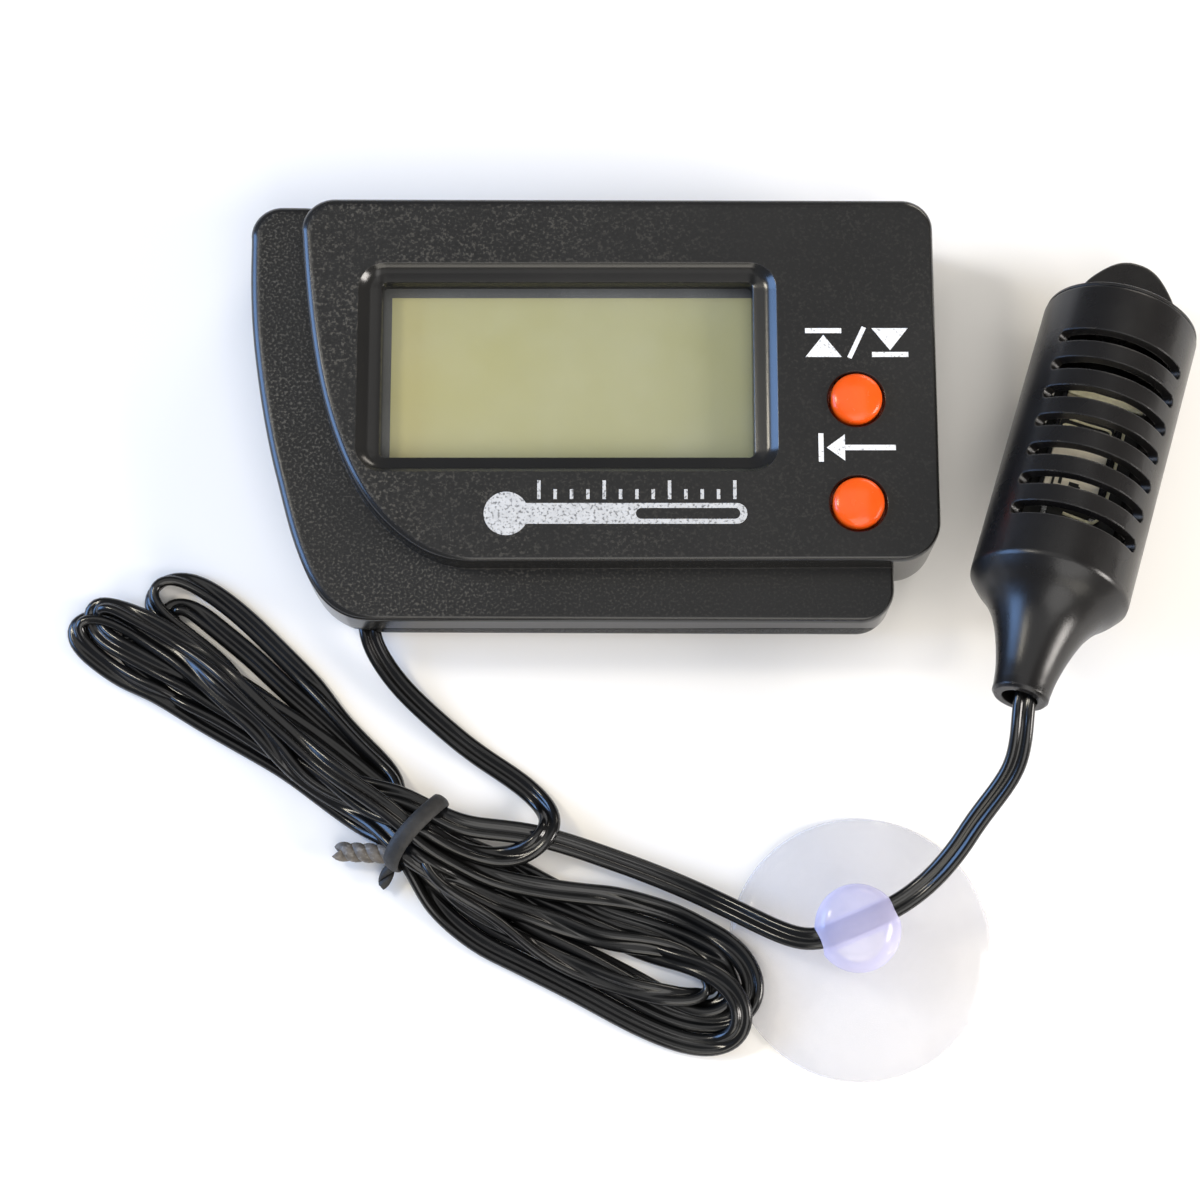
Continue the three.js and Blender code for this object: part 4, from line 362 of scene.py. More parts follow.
-4300,-1746,60,75,-66,4 -4332,-1819,57,100,-10,0 -4317,-1905,57,94,35,0
-4271,-1983,57,79,62,0 -4202,-2051,57,66,75,0 -4124,-2114,57,63,78,0
-4046,-2176,57,62,78,0 -3968,-2238,57,63,77,0 -3891,-2303,57,65,76,0
-3816,-2369,57,66,75,0 -3739,-2436,57,64,77,0 -3661,-2497,57,55,83,0
-3574,-2544,57,46,89,0 -3482,-2590,57,52,85,0 -3401,-2651,57,58,81,0
-3320,-2707,57,57,82,0 -3238,-2764,57,60,80,0 -3158,-2828,57,63,78,0
-3079,-2894,57,64,77,0 -3000,-2960,57,65,76,0 -2923,-3025,57,65,76,0
-2847,-3090,57,64,76,0 -2769,-3155,57,66,76,0 -2693,-3224,57,68,73,0
-2621,-3295,57,70,71,0 -2550,-3365,57,70,72,0 -2475,-3437,57,69,72,0
-2400,-3508,58,71,70,1 -2337,-3576,66,68,72,14 -2273,-3633,79,54,76,38
-2201,-3682,85,42,81,41 -2120,-3748,151,68,73,-9 -2048,-3816,158,59,76,-28
-1962,-3877,135,45,68,-58 -1892,-3945,127,57,39,-72 -1835,-4021,158,56,36,-75
-1758,-4088,159,43,49,-76 -1696,-4151,154,-43,-67,60 -1633,-4223,97,-52,-60,61
-1571,-4306,107,-21,-34,-92 -1502,-4354,115,-12,23,-96 -1444,-4443,57,76,65,-2
-1371,-4511,57,66,75,0 -1292,-4578,57,65,76,0 -1209,-4648,57,-58,-82,0
-1115,-4702,57,-46,-88,0 -1025,-4744,57,-39,-92,0 -925,-4784,57,-42,-91,-6
-833,-4834,74,-52,-81,26 -746,-4887,93,49,64,-60 -665,-4938,101,36,53,-77
-579,-4984,103,28,53,-80 -490,-5027,104,27,52,-81 -401,-5072,105,27,49,-83
-314,-5119,108,24,42,-87 -224,-5164,110,19,38,-91 -130,-5205,110,16,37,-91
-38,-5246,110,17,37,-91 53,-5289,109,18,41,-90 141,-5337,106,24,49,-84
228,-5386,103,29,54,-79 316,-5434,102,29,55,-78 404,-5480,102,29,56,-78
491,-5526,101,30,57,-76 577,-5573,101,32,57,-76 662,-5623,101,34,55,-76
747,-5674,105,33,52,-79 833,-5723,108,29,49,-82 923,-5765,113,28,52,-80
1015,-5801,122,29,61,-74 1104,-5827,134,26,76,-60 1191,-5837,152,9,82,-57
1272,-5816,176,-19,73,-66 1340,-5762,193,-47,52,-71 1392,-5686,192,-73,38,-57
1417,-5608,197,-99,10,5 1409,-5510,187,48,19,86 1372,-5422,181,-32,-14,94
1303,-5350,174,-55,-51,66 1221,-5281,165,-32,-66,-68 1152,-5229,127,-9,-69,-72
1071,-5188,93,-20,-79,-59 981,-5150,79,-29,-89,-35 887,-5116,61,-33,-94,-3
792,-5083,57,-36,-93,0 700,-5045,57,-35,-94,0 604,-5013,57,-31,-95,0
509,-4983,57,-29,-96,0 414,-4955,57,-25,-97,0 315,-4932,57,-23,-97,0
218,-4909,57,-29,-96,0 128,-4875,57,-40,-92,0 40,-4832,57,-46,-88,0
-46,-4783,57,-49,-87,0 -134,-4735,57,-46,-88,0 -223,-4690,57,-44,-90,0
-315,-4646,57,-44,-90,0 -406,-4601,57,-45,-89,0 -496,-4555,57,-47,-88,0
-585,-4505,57,-51,-86,0 -669,-4452,57,-54,-84,0 -755,-4396,57,-49,-87,0
-850,-4350,57,-39,-92,0 -945,-4315,57,-34,-94,0 -1040,-4282,58,-33,-94,1
-1131,-4250,65,-34,-93,12 -1219,-4214,78,-31,-88,34 -1305,-4175,101,-27,-84,48
-1381,-4129,136,-15,-78,60 -1454,-4078,189,-9,-77,63 -1516,-4025,242,-26,-76,60
-1587,-3972,266,-32,-49,81 -1665,-3887,267,-49,-43,76 -1734,-3810,262,-56,-54,63
-1803,-3752,260,-36,-88,31 -1973,-3720,244,-37,-85,38 -2032,-3669,221,-66,-66,36
-2108,-3606,205,-64,-67,38 -2185,-3541,191,-63,-69,36 -2262,-3476,185,-62,-72,31
-2341,-3412,183,-60,-75,28 -2420,-3349,184,-59,-75,29 -2500,-3286,186,-58,-75,32
-2581,-3224,187,-56,-74,37 -2663,-3163,187,-54,-74,41 -2745,-3103,188,-52,-74,42
-2828,-3045,190,-51,-75,42 -2910,-2987,192,-50,-75,44 -2994,-2931,194,-47,-75,47
-3080,-2878,197,-43,-75,51 -3167,-2826,203,-40,-74,54 -3252,-2775,213,-38,-76,53
-3336,-2721,232,-41,-80,43 -3421,-2668,249,-47,-87,14 -3514,-2623,258,-40,-92,-6
-3613,-2585,251,-32,-95,-3 -3703,-2558,226,-16,-93,-33 -3784,-2529,178,6,-81,-59
-3871,-2500,129,3,-78,-63 -3962,-2470,97,-14,-77,-62 -4052,-2429,81,-36,-83,-43
-4139,-2377,68,-51,-84,-19 -4222,-2319,57,-58,-81,0 -4305,-2259,57,-58,-81,0
-4388,-2200,57,-58,-81,0 -4470,-2141,57,-58,-82,0 -4550,-2084,57,-45,-89,0
-4636,-2056,57,-10,-100,0 -4710,-2068,57,52,-85,0 -4748,-2124,57,98,-20,0
-4736,-2198,57,90,42,0 -4681,-2265,57,69,72,0 -4609,-2320,57,59,81,0
-4530,-2376,57,58,82,0 -4448,-2435,57,59,81,0 -4365,-2495,57,60,80,0
-4287,-2556,62,62,78,8 -4215,-2616,76,55,80,26 -4137,-2686,149,62,77,-13
-4057,-2731,152,41,85,-33 -3971,-2770,141,32,83,-46 -3884,-2811,130,31,74,-59
-3800,-2856,122,33,69,-64 -3713,-2903,119,36,68,-64 -3624,-2952,119,39,66,-64
-3537,-3004,122,43,67,-61 -3452,-3058,125,47,70,-54 -3367,-3113,129,50,73,-47
-3282,-3169,132,51,77,-40 -3197,-3223,134,48,80,-36 -3108,-3272,138,46,83,-30
-3020,-3317,146,44,87,-20 -2929,-3359,158,45,89,-3 -2840,-3407,171,46,87,14
-2753,-3457,184,40,86,33 -2664,-3500,202,27,86,44 -2572,-3533,223,17,87,46
-2477,-3557,241,17,89,42 -2387,-3589,265,26,90,34 -2296,-3625,287,26,92,29
-2201,-3653,306,19,96,22 -2108,-3674,335,20,98,3 -2013,-3694,364,22,97,-8
-1918,-3714,386,30,95,-5 -1819,-3754,383,36,87,-34 -1727,-3798,374,31,75,-58
-1634,-3842,368,27,66,-70 -1546,-3891,357,37,72,-58 -1460,-3945,351,50,83,-25
-1376,-3996,354,42,91,-8 -1282,-4027,351,25,97,-1 -1185,-4045,341,14,99,0
-1087,-4054,328,7,100,0 -988,-4059,314,5,100,0 -889,-4065,301,7,100,0
-789,-4073,290,10,100,0 -691,-4084,280,14,99,0 -592,-4100,273,18,98,0
-494,-4120,265,22,98,0 -397,-4143,258,25,97,0 -301,-4170,251,28,96,0
-205,-4199,243,30,96,0 -110,-4229,236,31,95,0 -16,-4261,228,32,95,0
79,-4294,222,33,94,0 173,-4327,216,33,94,0 268,-4359,212,33,94,0
362,-4393,208,34,94,0 456,-4426,204,34,94,0 550,-4461,201,35,94,0
644,-4497,199,36,93,0 737,-4534,197,38,93,0 829,-4572,198,39,92,0
921,-4612,202,40,91,0 1012,-4653,211,42,91,0 1101,-4695,227,44,90,0
1188,-4739,249,45,89,0 1273,-4783,277,47,88,0 1357,-4828,310,48,88,0
1438,-4872,346,48,88,0 1519,-4918,384,49,87,0 1599,-4963,424,49,87,0
1679,-5008,464,48,87,0 1760,-5052,503,47,88,0 1842,-5095,540,45,90,0
1927,-5135,576,39,92,0 2015,-5167,608,27,96,0 2107,-5185,635,8,100,0
2202,-5182,654,-15,99,0 2296,-5157,665,-32,95,0 2388,-5120,669,-39,92,0
2479,-5080,670,-39,92,0 2571,-5041,670,-38,92,0 2664,-5003,670,-39,92,0
2756,-4963,670,-41,91,0 2846,-4920,673,-44,90,0 2935,-4874,678,-48,88,0
3021,-4825,688,-52,85,0 3104,-4771,703,-57,82,0 3183,-4713,723,-61,79,0
3258,-4652,749,-65,76,0 3328,-4588,780,-70,72,0 3393,-4522,815,-73,68,0
3454,-4453,854,-76,65,0 3512,-4382,895,-78,62,0 3566,-4311,940,-80,60,0
3616,-4239,986,-82,57,0 3660,-4166,1034,-84,55,0 3712,-4092,1083,-85,52,0
3766,-4018,1133,-87,49,0 3826,-3941,1183,-89,46,0 3887,-3864,1233,-90,42,0
3946,-3784,1283,-92,39,0 4001,-3703,1332,-93,37,0 4044,-3621,1380,-94,34,0
4073,-3537,1426,-95,32,0 4091,-3452,1469,-95,30,0 4104,-3364,1509,-96,29,0
4112,-3274,1544,-96,29,0 4118,-3182,1571,-96,28,0 4126,-3088,1588,-96,28,0
4137,-2993,1595,-96,29,0 4161,-2898,1589,-96,29,0 4190,-2804,1574,-96,30,0
4219,-2711,1552,-95,30,0 4248,-2619,1526,-95,30,0 4278,-2527,1498,-95,30,0
4307,-2435,1473,-95,30,0 4336,-2342,1451,-96,30,0 4365,-2248,1432,-96,29,0
4394,-2152,1427,-96,29,0""", 6) * 0.01
FLEX_STATION = 826      # station near the probe end; the lead is split into two pieces a little before it


# ------------------------------------------------------------------ driving sizes, mm
def box_mm(node):
    """Low and high corners of a CAD piece."""
    low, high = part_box(node)
    return np.array(low) / MM, np.array(high) / MM


def middle_mm(node):
    low, high = box_mm(node)
    return (low + high) / 2


PART_Z = box_mm("front_shell")[0][2]        # where front and rear shells meet
CASE_TOP = box_mm("front_shell")[1][2]
STEP_Z = 10.0                               # top of the case beside the plateau
WALL, FLOOR = 1.8, 1.6
DRAFT, DRAFT_TOP = 1.0, 4.0                 # side walls lean in below this height
PART_GAP = 0.14                             # chamfer of each shell at the parting line
TOE_Y, TOE_BACK, TOE_Z = -21.0, -19.4, 6.5  # sloped underside of the front edge

WINDOW_X, WINDOW_Y = -2.27, 4.2
WINDOW_HALF_X, WINDOW_HALF_Y = 18.45, 9.05
BUTTON_X = middle_mm("max_min_button")[0]
BUTTON_YS = [middle_mm(name)[1] for name in ("max_min_button", "clear_button")]
# Case screws: x, y and the height 1.2 above the screw.
SCREWS = [(*middle_mm(f"case_screw_{i}")[:2], box_mm(f"case_screw_{i}")[1][2] + 1.2)
          for i in range(1, 5)]
BOARD_SCREWS = [middle_mm(f"board_screw_{i}")[:2] for i in (1, 2)]
EXIT_X, _, EXIT_Z = middle_mm("cable_grommet")


# ------------------------------------------------------------------ mesh helpers, in mm
def make_object(name, verts, faces):
    mesh = bpy.data.meshes.new(name)
    mesh.from_pydata([tuple(map(float, v)) for v in verts], [], [tuple(map(int, f)) for f in faces])
    mesh.validate()
    piece = bpy.data.objects.new(name, mesh)
    bpy.context.scene.collection.objects.link(piece)
    return piece


def combine(piece, tools, operation):
    """Boolean of a piece with tools, which are removed afterwards."""
    for tool in tools:
        modifier = piece.modifiers.new("b", "BOOLEAN")
        modifier.operation = operation
        modifier.solver = "MANIFOLD"
        modifier.object = tool
    graph = bpy.context.evaluated_depsgraph_get()
    result = bpy.data.meshes.new_from_object(piece.evaluated_get(graph))
    piece.modifiers.clear()
    before = piece.data
    piece.data = result
    bpy.data.meshes.remove(before)
    for tool in tools:
        mesh = tool.data
        bpy.data.objects.remove(tool)
        bpy.data.meshes.remove(mesh)
    return piece


def cut(piece, *tools):
    return combine(piece, tools, "DIFFERENCE")


def join(piece, *tools):
    return combine(piece, tools, "UNION")


def finish(piece, look, body, replaced=(), angle=32.0, weighted=True, placing=None):
    """Scale to metres, shade smooth with sharp edges kept, and hand over to the frame."""
    mesh = piece.data
    if placing is not None:
        mesh.transform(placing)
    mesh.transform(Matrix.Scale(MM, 4))
    mesh.polygons.foreach_set("use_smooth", [True] * len(mesh.polygons))
    mesh.set_sharp_from_angle(angle=math.radians(angle))
    mesh.materials.clear()
    mesh.materials.append(LOOKS[look])
    mesh.update()
    if weighted:
        normals = piece.modifiers.new("normals", "WEIGHTED_NORMAL")
        normals.mode = "FACE_AREA"
        normals.weight = 90
        normals.keep_sharp = True
    if body:
        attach(piece, body)
    if replaced:
        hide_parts(*replaced)
    return piece


def unit(rows):
    return rows / np.linalg.norm(rows, axis=1)[:, None]


def offset(points, inset):
    """A closed counter-clockwise outline moved inward, mitred."""
    points = np.asarray(points, float)
    edges = unit(np.roll(points, -1, 0) - points)
    after = np.c_[-edges[:, 1], edges[:, 0]]
    before = np.roll(after, 1, 0)
    mitre = before + after
    share = np.sum(mitre * before, 1)
    return points + mitre * (inset / np.maximum(share, 0.35))[:, None]


def quarter(radius, steps):
    """Quarter round as pairs running from (0, radius) to (radius, 0)."""
    turns = [math.pi / 2 * k / steps for k in range(steps + 1)]
    return [(radius * (1 - math.cos(t)), radius * (1 - math.sin(t))) for t in turns]


def stack(name, rings):
    """Closed solid from rings of equal point counts, bottom to top as (outline, z)."""
    n = len(rings[0][0])
    verts, faces = [], []
    for points, z in rings:
        verts += [(x, y, z) for x, y in points]
    for k in range(len(rings) - 1):
        for i in range(n):
            j = (i + 1) % n
            faces.append((k * n + i, k * n + j, (k + 1) * n + j, (k + 1) * n + i))
    faces.append(tuple(range(n - 1, -1, -1)))
    top = (len(rings) - 1) * n
    faces.append(tuple(top + i for i in range(n)))
    return make_object(name, verts, faces)


def prism(points, z0, z1, name="tool"):
    return stack(name, [(points, z0), (points, z1)])


def eased(points, z0, z1, low_radius, high_radius, steps, name="tool"):
    """Prism with quarter-round rims; a radius of zero leaves a sharp rim."""
    low, high = (quarter(r, steps) if r > 0 else [(0.0, 0.0)] for r in (low_radius, high_radius))
    rings = [(offset(points, inset), z0 + rise) for rise, inset in low]
    rings += [(offset(points, inset), z1 - drop) for inset, drop in high]
    return stack(name, rings)


def rect(x0, x1, y0, y1):
    return np.array([(x0, y0), (x1, y0), (x1, y1), (x0, y1)], float)


def block(x0, x1, y0, y1, z0, z1):
    return prism(rect(x0, x1, y0, y1), z0, z1)


def circle(x, y, radius, n=48):
    turns = np.arange(n) * 2 * math.pi / n
    return np.c_[x + radius * np.cos(turns), y + radius * np.sin(turns)]


def round_rect(x, y, half_x, half_y, radius, steps=8):
    points = []
    for side_x, side_y, start in ((1, -1, -90), (1, 1, 0), (-1, 1, 90), (-1, -1, 180)):
        for k in range(steps + 1):
            turn = math.radians(start + 90 * k / steps)
            points.append((x + side_x * (half_x - radius) + radius * math.cos(turn),
                           y + side_y * (half_y - radius) + radius * math.sin(turn)))
    return np.array(points)


def rod_z(x, y, radius, z0, z1, n=32):
    return prism(circle(x, y, radius, n), z0, z1)


def lay_along_y(piece, x, z):
    """Turn a piece standing on the origin so that it runs along y, at x and z."""
    piece.data.transform(Matrix(((1, 0, 0, x), (0, 0, 1, 0), (0, -1, 0, z), (0, 0, 0, 1))))
    return piece


def rod_y(x, z, radius, y0, y1):
    return lay_along_y(rod_z(0, 0, radius, y0, y1, 40), x, z)


def lathe(profile, n, name):
    """Solid turned about z from (radius, z); a profile starting off the axis is closed on itself."""
    verts, faces, rings = [], [], []
    for radius, z in profile:
        if radius < 1e-6:
            rings.append([len(verts)])
            verts.append((0, 0, z))
        else:
            rings.append(list(range(len(verts), len(verts) + n)))
            turns = [2 * math.pi * i / n for i in range(n)]
            verts += [(radius * math.cos(t), radius * math.sin(t), z) for t in turns]
    pairs = list(zip(rings[:-1], rings[1:]))
    if len(rings[0]) > 1:
        pairs.append((rings[-1], rings[0]))
    for a, b in pairs:
        for i in range(n):
            j = (i + 1) % n
            if len(a) == 1:
                faces.append((a[0], b[j], b[i]))
            elif len(b) == 1:
                faces.append((a[i], a[j], b[0]))
            else:
                faces.append((a[i], a[j], b[j], b[i]))
    return make_object(name, verts, faces)


def spline(points, steps):
    """Catmull-Rom curve through rows of any width."""
    p = np.asarray(points, float)
    padded = np.vstack([2 * p[0] - p[1], p, 2 * p[-1] - p[-2]])
    curve = []
    for a, b, c, d in zip(padded, padded[1:], padded[2:], padded[3:]):
        for k in range(steps):
            t = k / steps
            curve.append(0.5 * (2 * b + (c - a) * t + (2 * a - 5 * b + 4 * c - d) * t * t
                                + (3 * b - a - 3 * c + d) * t ** 3))
    curve.append(p[-1])
    return np.array(curve)


def sweep(name, centres, side, section, closed=False):
    """Carry a section (across along side, up along the third axis) along a centre line."""
    centres = np.asarray(centres, float)
    section = np.asarray(section, float)
    n, m = len(centres), len(section)
    if closed:
        along = unit(np.roll(centres, -1, 0) - np.roll(centres, 1, 0))
    else:
        along = unit(np.gradient(centres, axis=0))
    side = np.asarray(side, float)
    side = unit(side - np.sum(side * along, 1)[:, None] * along)
    third = np.cross(along, side)
    verts = (centres[:, None, :] + section[None, :, 0, None] * side[:, None, :]
             + section[None, :, 1, None] * third[:, None, :]).reshape(-1, 3)
    faces = []
    for i in range(n if closed else n - 1):
        following = (i + 1) % n
        for k in range(m):
            k2 = (k + 1) % m
            faces.append((i * m + k, i * m + k2, following * m + k2, following * m + k))
    if not closed:
        faces.append(tuple(range(m - 1, -1, -1)))
        faces.append(tuple((n - 1) * m + k for k in range(m)))
    return make_object(name, verts, faces)


# ------------------------------------------------------------------ materials
def scaled(color, factor):
    return tuple(min(1.0, channel * factor) for channel in color)


class Surface:
    """A Principled material in the making, with short calls for the nodes it uses."""

    def __init__(self, name):
        self.material = bpy.data.materials.new(name)
        self.material.use_nodes = True
        self.tree = self.material.node_tree
        self.tree.nodes.clear()
        output = self.node("OutputMaterial")
        self.bsdf = self.node("BsdfPrincipled")
        self.feed(output.inputs["Surface"], self.bsdf.outputs["BSDF"])

    @functools.cached_property
    def coords(self):
        return self.node("TexCoord").outputs["Object"]

    def feed(self, socket, value):
        """Link a socket, or set its value; colours are given without alpha."""
        if isinstance(value, bpy.types.NodeSocket):
            self.tree.links.new(value, socket)
        elif socket.type == "RGBA":
            socket.default_value = (*value, 1.0)
        else:
            socket.default_value = value

    def node(self, kind, inputs=None, **settings):
        made = self.tree.nodes.new("ShaderNode" + kind)
        for setting, value in settings.items():
            setattr(made, setting, value)
        for socket, value in (inputs or {}).items():
            self.feed(made.inputs[socket], value)
        return made

    def shade(self, inputs):
        """Set inputs of the Principled shader."""
        for socket, value in inputs.items():
            self.feed(self.bsdf.inputs[socket], value)

    def noise(self, scale, detail=3.0, rough=0.5, stretch=None):
        coords = self.coords
        if stretch is not None:
            mapping = self.node("Mapping", {"Scale": stretch, "Vector": coords})
            coords = mapping.outputs["Vector"]
        inputs = {"Scale": scale, "Detail": detail, "Roughness": rough, "Vector": coords}
        return self.node("TexNoise", inputs).outputs["Fac"]

    def ramp(self, value, at, to=(0.0, 1.0)):
        """Map the range 'at' to the range 'to', held at both ends."""
        inputs = {"From Min": at[0], "From Max": at[1], "To Min": to[0], "To Max": to[1],
                  "Value": value}
        return self.node("MapRange", inputs).outputs["Result"]

    def spread(self, noise, low=0.0, high=1.0):
        """Stretch the usual span of a noise over low to high."""
        return self.ramp(noise, at=(0.3, 0.7), to=(low, high))

    def mix(self, share, first, second):
        # Inputs 0, 6 and 7 are the factor and the two colours.
        inputs = {0: share, 6: first, 7: second}
        return self.node("Mix", inputs, data_type="RGBA", blend_type="MIX").outputs[2]

    def math(self, operation, *values, clamp=False):
        inputs = dict(enumerate(values))
        return self.node("Math", inputs, operation=operation, use_clamp=clamp).outputs[0]

    def add(self, a, b, clamp=False):
        return self.math("ADD", a, b, clamp=clamp)

    def times(self, a, b, clamp=False):
        return self.math("MULTIPLY", a, b, clamp=clamp)

    def axes(self, vector):
        return self.node("SeparateXYZ", {0: vector}).outputs

    def bevel(self, radius):
        return self.node("Bevel", {"Radius": radius}, samples=4).outputs["Normal"]

    def edge_mask(self, bevelled):
        """1 along sharp edges, where the bevelled normal leaves the true one."""
        normal = self.node("NewGeometry").outputs["Normal"]
        dot = self.node("VectorMath", {0: bevelled, 1: normal}, operation="DOT_PRODUCT")
        return self.ramp(dot.outputs["Value"], at=(0.995, 0.90))

    def bump(self, height, distance, strength=1.0, normal=None):
        inputs = {"Strength": strength, "Distance": distance, "Height": height}
        if normal is not None:
            inputs["Normal"] = normal
        return self.node("Bump", inputs).outputs["Normal"]


def plain_material(name, color, rough, var=0.10, var_scale=180.0, rough_var=0.07, grain=0.0,
                   grain_scale=4500.0, grain_depth=1.2e-5, soft=0.05, metallic=0.0, spec=0.5,
                   edge=0.0, edge_tint_color=None, speck=None, stretch=None, sss=0.0, bevel=True):
    """Blotchy colour, uneven roughness, fine grain and a painted edge highlight along sharp edges.

    var and rough_var are the swings of colour and roughness, soft and grain the broad and fine
    relief, edge the share of the edge tint (a painted edge highlight), stretch the noise scale along
    x, y, z.
    """
    s = Surface(name)
    blotch = s.noise(var_scale, detail=4.0, rough=0.6, stretch=stretch)
    base = s.mix(s.spread(blotch), scaled(color, 1 - var), scaled(color, 1 + var))
    sheen = s.noise(var_scale * 2.3, rough=0.55, stretch=stretch)
    fine = s.noise(grain_scale, detail=2.0, rough=0.55, stretch=stretch)
    if speck is not None:
        spots = s.noise(speck["scale"], detail=2.0)
        share = s.ramp(spots, at=speck["at"], to=(0.0, speck["share"]))
        base = s.mix(share, base, speck["color"])
    normal = None
    if bevel:
        normal = s.bevel(radius=2.2e-4)
        if edge > 0:
            # Sharp edges take the edge tint in patches: a painted edge highlight.
            edge_tint_patches = s.ramp(s.noise(900.0, rough=0.6), at=(0.35, 0.65), to=(0.25, 1.0))
            edge_tint_share = s.times(s.times(s.edge_mask(normal), edge_tint_patches), edge, clamp=True)
            base = s.mix(edge_tint_share, base, edge_tint_color or scaled(color, 2.4))
    s.shade({
        "Base Color": base,
        "Roughness": s.spread(sheen, rough - rough_var, rough + rough_var),
        "Metallic": metallic,
        "Specular IOR Level": spec,
        "IOR": 1.46,
        "Coat Roughness": 0.12,
    })
    if sss > 0:
        s.shade({"Subsurface Weight": sss, "Subsurface Radius": (1.0, 0.4, 0.2),
                 "Subsurface Scale": 0.0006})
    broad = s.bump(blotch, distance=soft * 1e-4, normal=normal)
    s.shade({"Normal": s.bump(fine, distance=grain_depth, strength=grain, normal=broad)})
    return s.material


def shell_material():
    """Dark plastic: textured broad faces, smoother to the right, with painted glints and shade in
    the grain strongest at the left, a painted edge highlight, and glossy walls and rims.
    """
    s = Surface("charcoal_spark_texture")
    x, y, z = s.axes(s.coords)
    facing = s.axes(s.node("NewGeometry").outputs["True Normal"])["Z"]
    level = s.ramp(s.math("ABSOLUTE", facing), at=(0.93, 0.985))
    # Texture lies on the plateau top and below the step, not on the band between.
    outside_band = s.math("MAXIMUM", s.ramp(z, at=(0.0127, 0.0129)),
                          s.ramp(z, at=(0.0102, 0.0101)), clamp=True)
    textured = s.times(level, outside_band, clamp=True)
    left_light_fade = s.ramp(x, at=(-0.036, 0.012), to=(1.0, 0.16))
    patch = s.ramp(s.noise(85.0, rough=0.6), at=(0.36, 0.62), to=(0.35, 1.0))
    grain_and_glint_amount = s.times(textured, s.times(left_light_fade, patch), clamp=True)
    coarse = s.noise(3500.0, detail=2.0, rough=0.55)
    fine = s.noise(5200.0, detail=2.0)

    base = s.mix(s.spread(s.noise(55.0, detail=4.0, rough=0.6)),
                 (0.0100, 0.0097, 0.0093), (0.0145, 0.0139, 0.0131))
    # Light specks, strongest at the left where the light grazes: painted glints on the grain.
    light = s.times(s.ramp(coarse, at=(0.53, 0.66), to=(0.0, 0.9)), grain_and_glint_amount, clamp=True)
    base = s.mix(light, base, (0.105, 0.097, 0.081))
    # Dark specks, likewise strongest at the left: painted shade in the grain.
    dark = s.times(s.ramp(coarse, at=(0.46, 0.36), to=(0.0, 0.9)), grain_and_glint_amount, clamp=True)
    base = s.mix(dark, base, (0.004, 0.004, 0.004))
    bevelled = s.bevel(radius=1.6e-4)
    # Lighter sharp edges in patches: a painted edge highlight.
    edge_tint_patches = s.ramp(s.noise(1300.0, rough=0.6), at=(0.42, 0.62))
    edge_tint_share = s.times(s.times(s.edge_mask(bevelled), edge_tint_patches), 0.35, clamp=True)
    base = s.mix(edge_tint_share, base, (0.085, 0.08, 0.075))

    textured_rough = s.spread(s.noise(140.0, rough=0.55), 0.34, 0.46)
    smooth_rough = s.times(s.math("SUBTRACT", 1.0, textured), 0.20)
    # Less shine low on the front wall and on the band behind the window.
    low_front = s.times(s.ramp(y, at=(-0.0204, -0.0202), to=(1.0, 0.0)),
                        s.ramp(z, at=(0.0093, 0.0096), to=(1.0, 0.0)), clamp=True)
    from_window = s.math("ABSOLUTE", s.add(x, -WINDOW_X * MM))
    back_lip = s.ramp(y, at=(0.01300, 0.01320))
    for limit in (s.ramp(y, at=(0.01525, 0.0154), to=(1.0, 0.0)),
                  s.ramp(from_window, at=(0.0186, 0.0190), to=(1.0, 0.0)),
                  s.ramp(z, at=(0.01255, 0.01265), to=(1.0, 0.0)),
                  s.ramp(z, at=(0.0090, 0.0095))):
        back_lip = s.times(back_lip, limit, clamp=True)
    dull = s.add(s.times(low_front, 0.40), s.times(back_lip, 0.36))
    loss = s.add(s.times(textured, 0.21), dull)

    broad = s.bump(coarse, distance=5.5e-5, strength=s.times(grain_and_glint_amount, 0.9), normal=bevelled)
    grain = s.ramp(textured, at=(0.0, 1.0), to=(0.10, 0.75))
    s.shade({
        "Base Color": base,
        "Roughness": s.add(s.times(textured, textured_rough), smooth_rough),
        "IOR": 1.5,
        "Specular IOR Level": s.math("SUBTRACT", 0.5, loss, clamp=True),
        "Normal": s.bump(fine, distance=1.6e-5, strength=grain, normal=broad),
    })
    return s.material


def lcd_material():
    """Olive panel with a painted light falloff, lighter at the left and darker to the right, with a
    fine grain.
    """
    s = Surface("lcd_panel")
    x, y, _ = s.axes(s.coords)
    low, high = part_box("lcd_cell")
    # Painted light falloff: lighter olive at the left, darker to the right.
    base = s.mix(s.ramp(x, at=(low.x, high.x)), (0.42, 0.385, 0.135), (0.305, 0.296, 0.118))
    toward_back = s.ramp(y, at=(low.y, high.y), to=(0.0, 0.35))
    base = s.mix(toward_back, base, (0.36, 0.355, 0.165))
    blotch = s.noise(120.0)
    base = s.mix(s.spread(blotch, high=0.12), base, (0.45, 0.42, 0.19))
    fine = s.noise(9000.0, detail=2.0)
    base = s.mix(s.spread(fine, high=0.06), base, (0.22, 0.205, 0.11))
    s.shade({"Base Color": base, "Roughness": s.spread(blotch, 0.42, 0.55),
             "Normal": s.bump(fine, distance=8e-6, strength=0.3)})
    return s.material


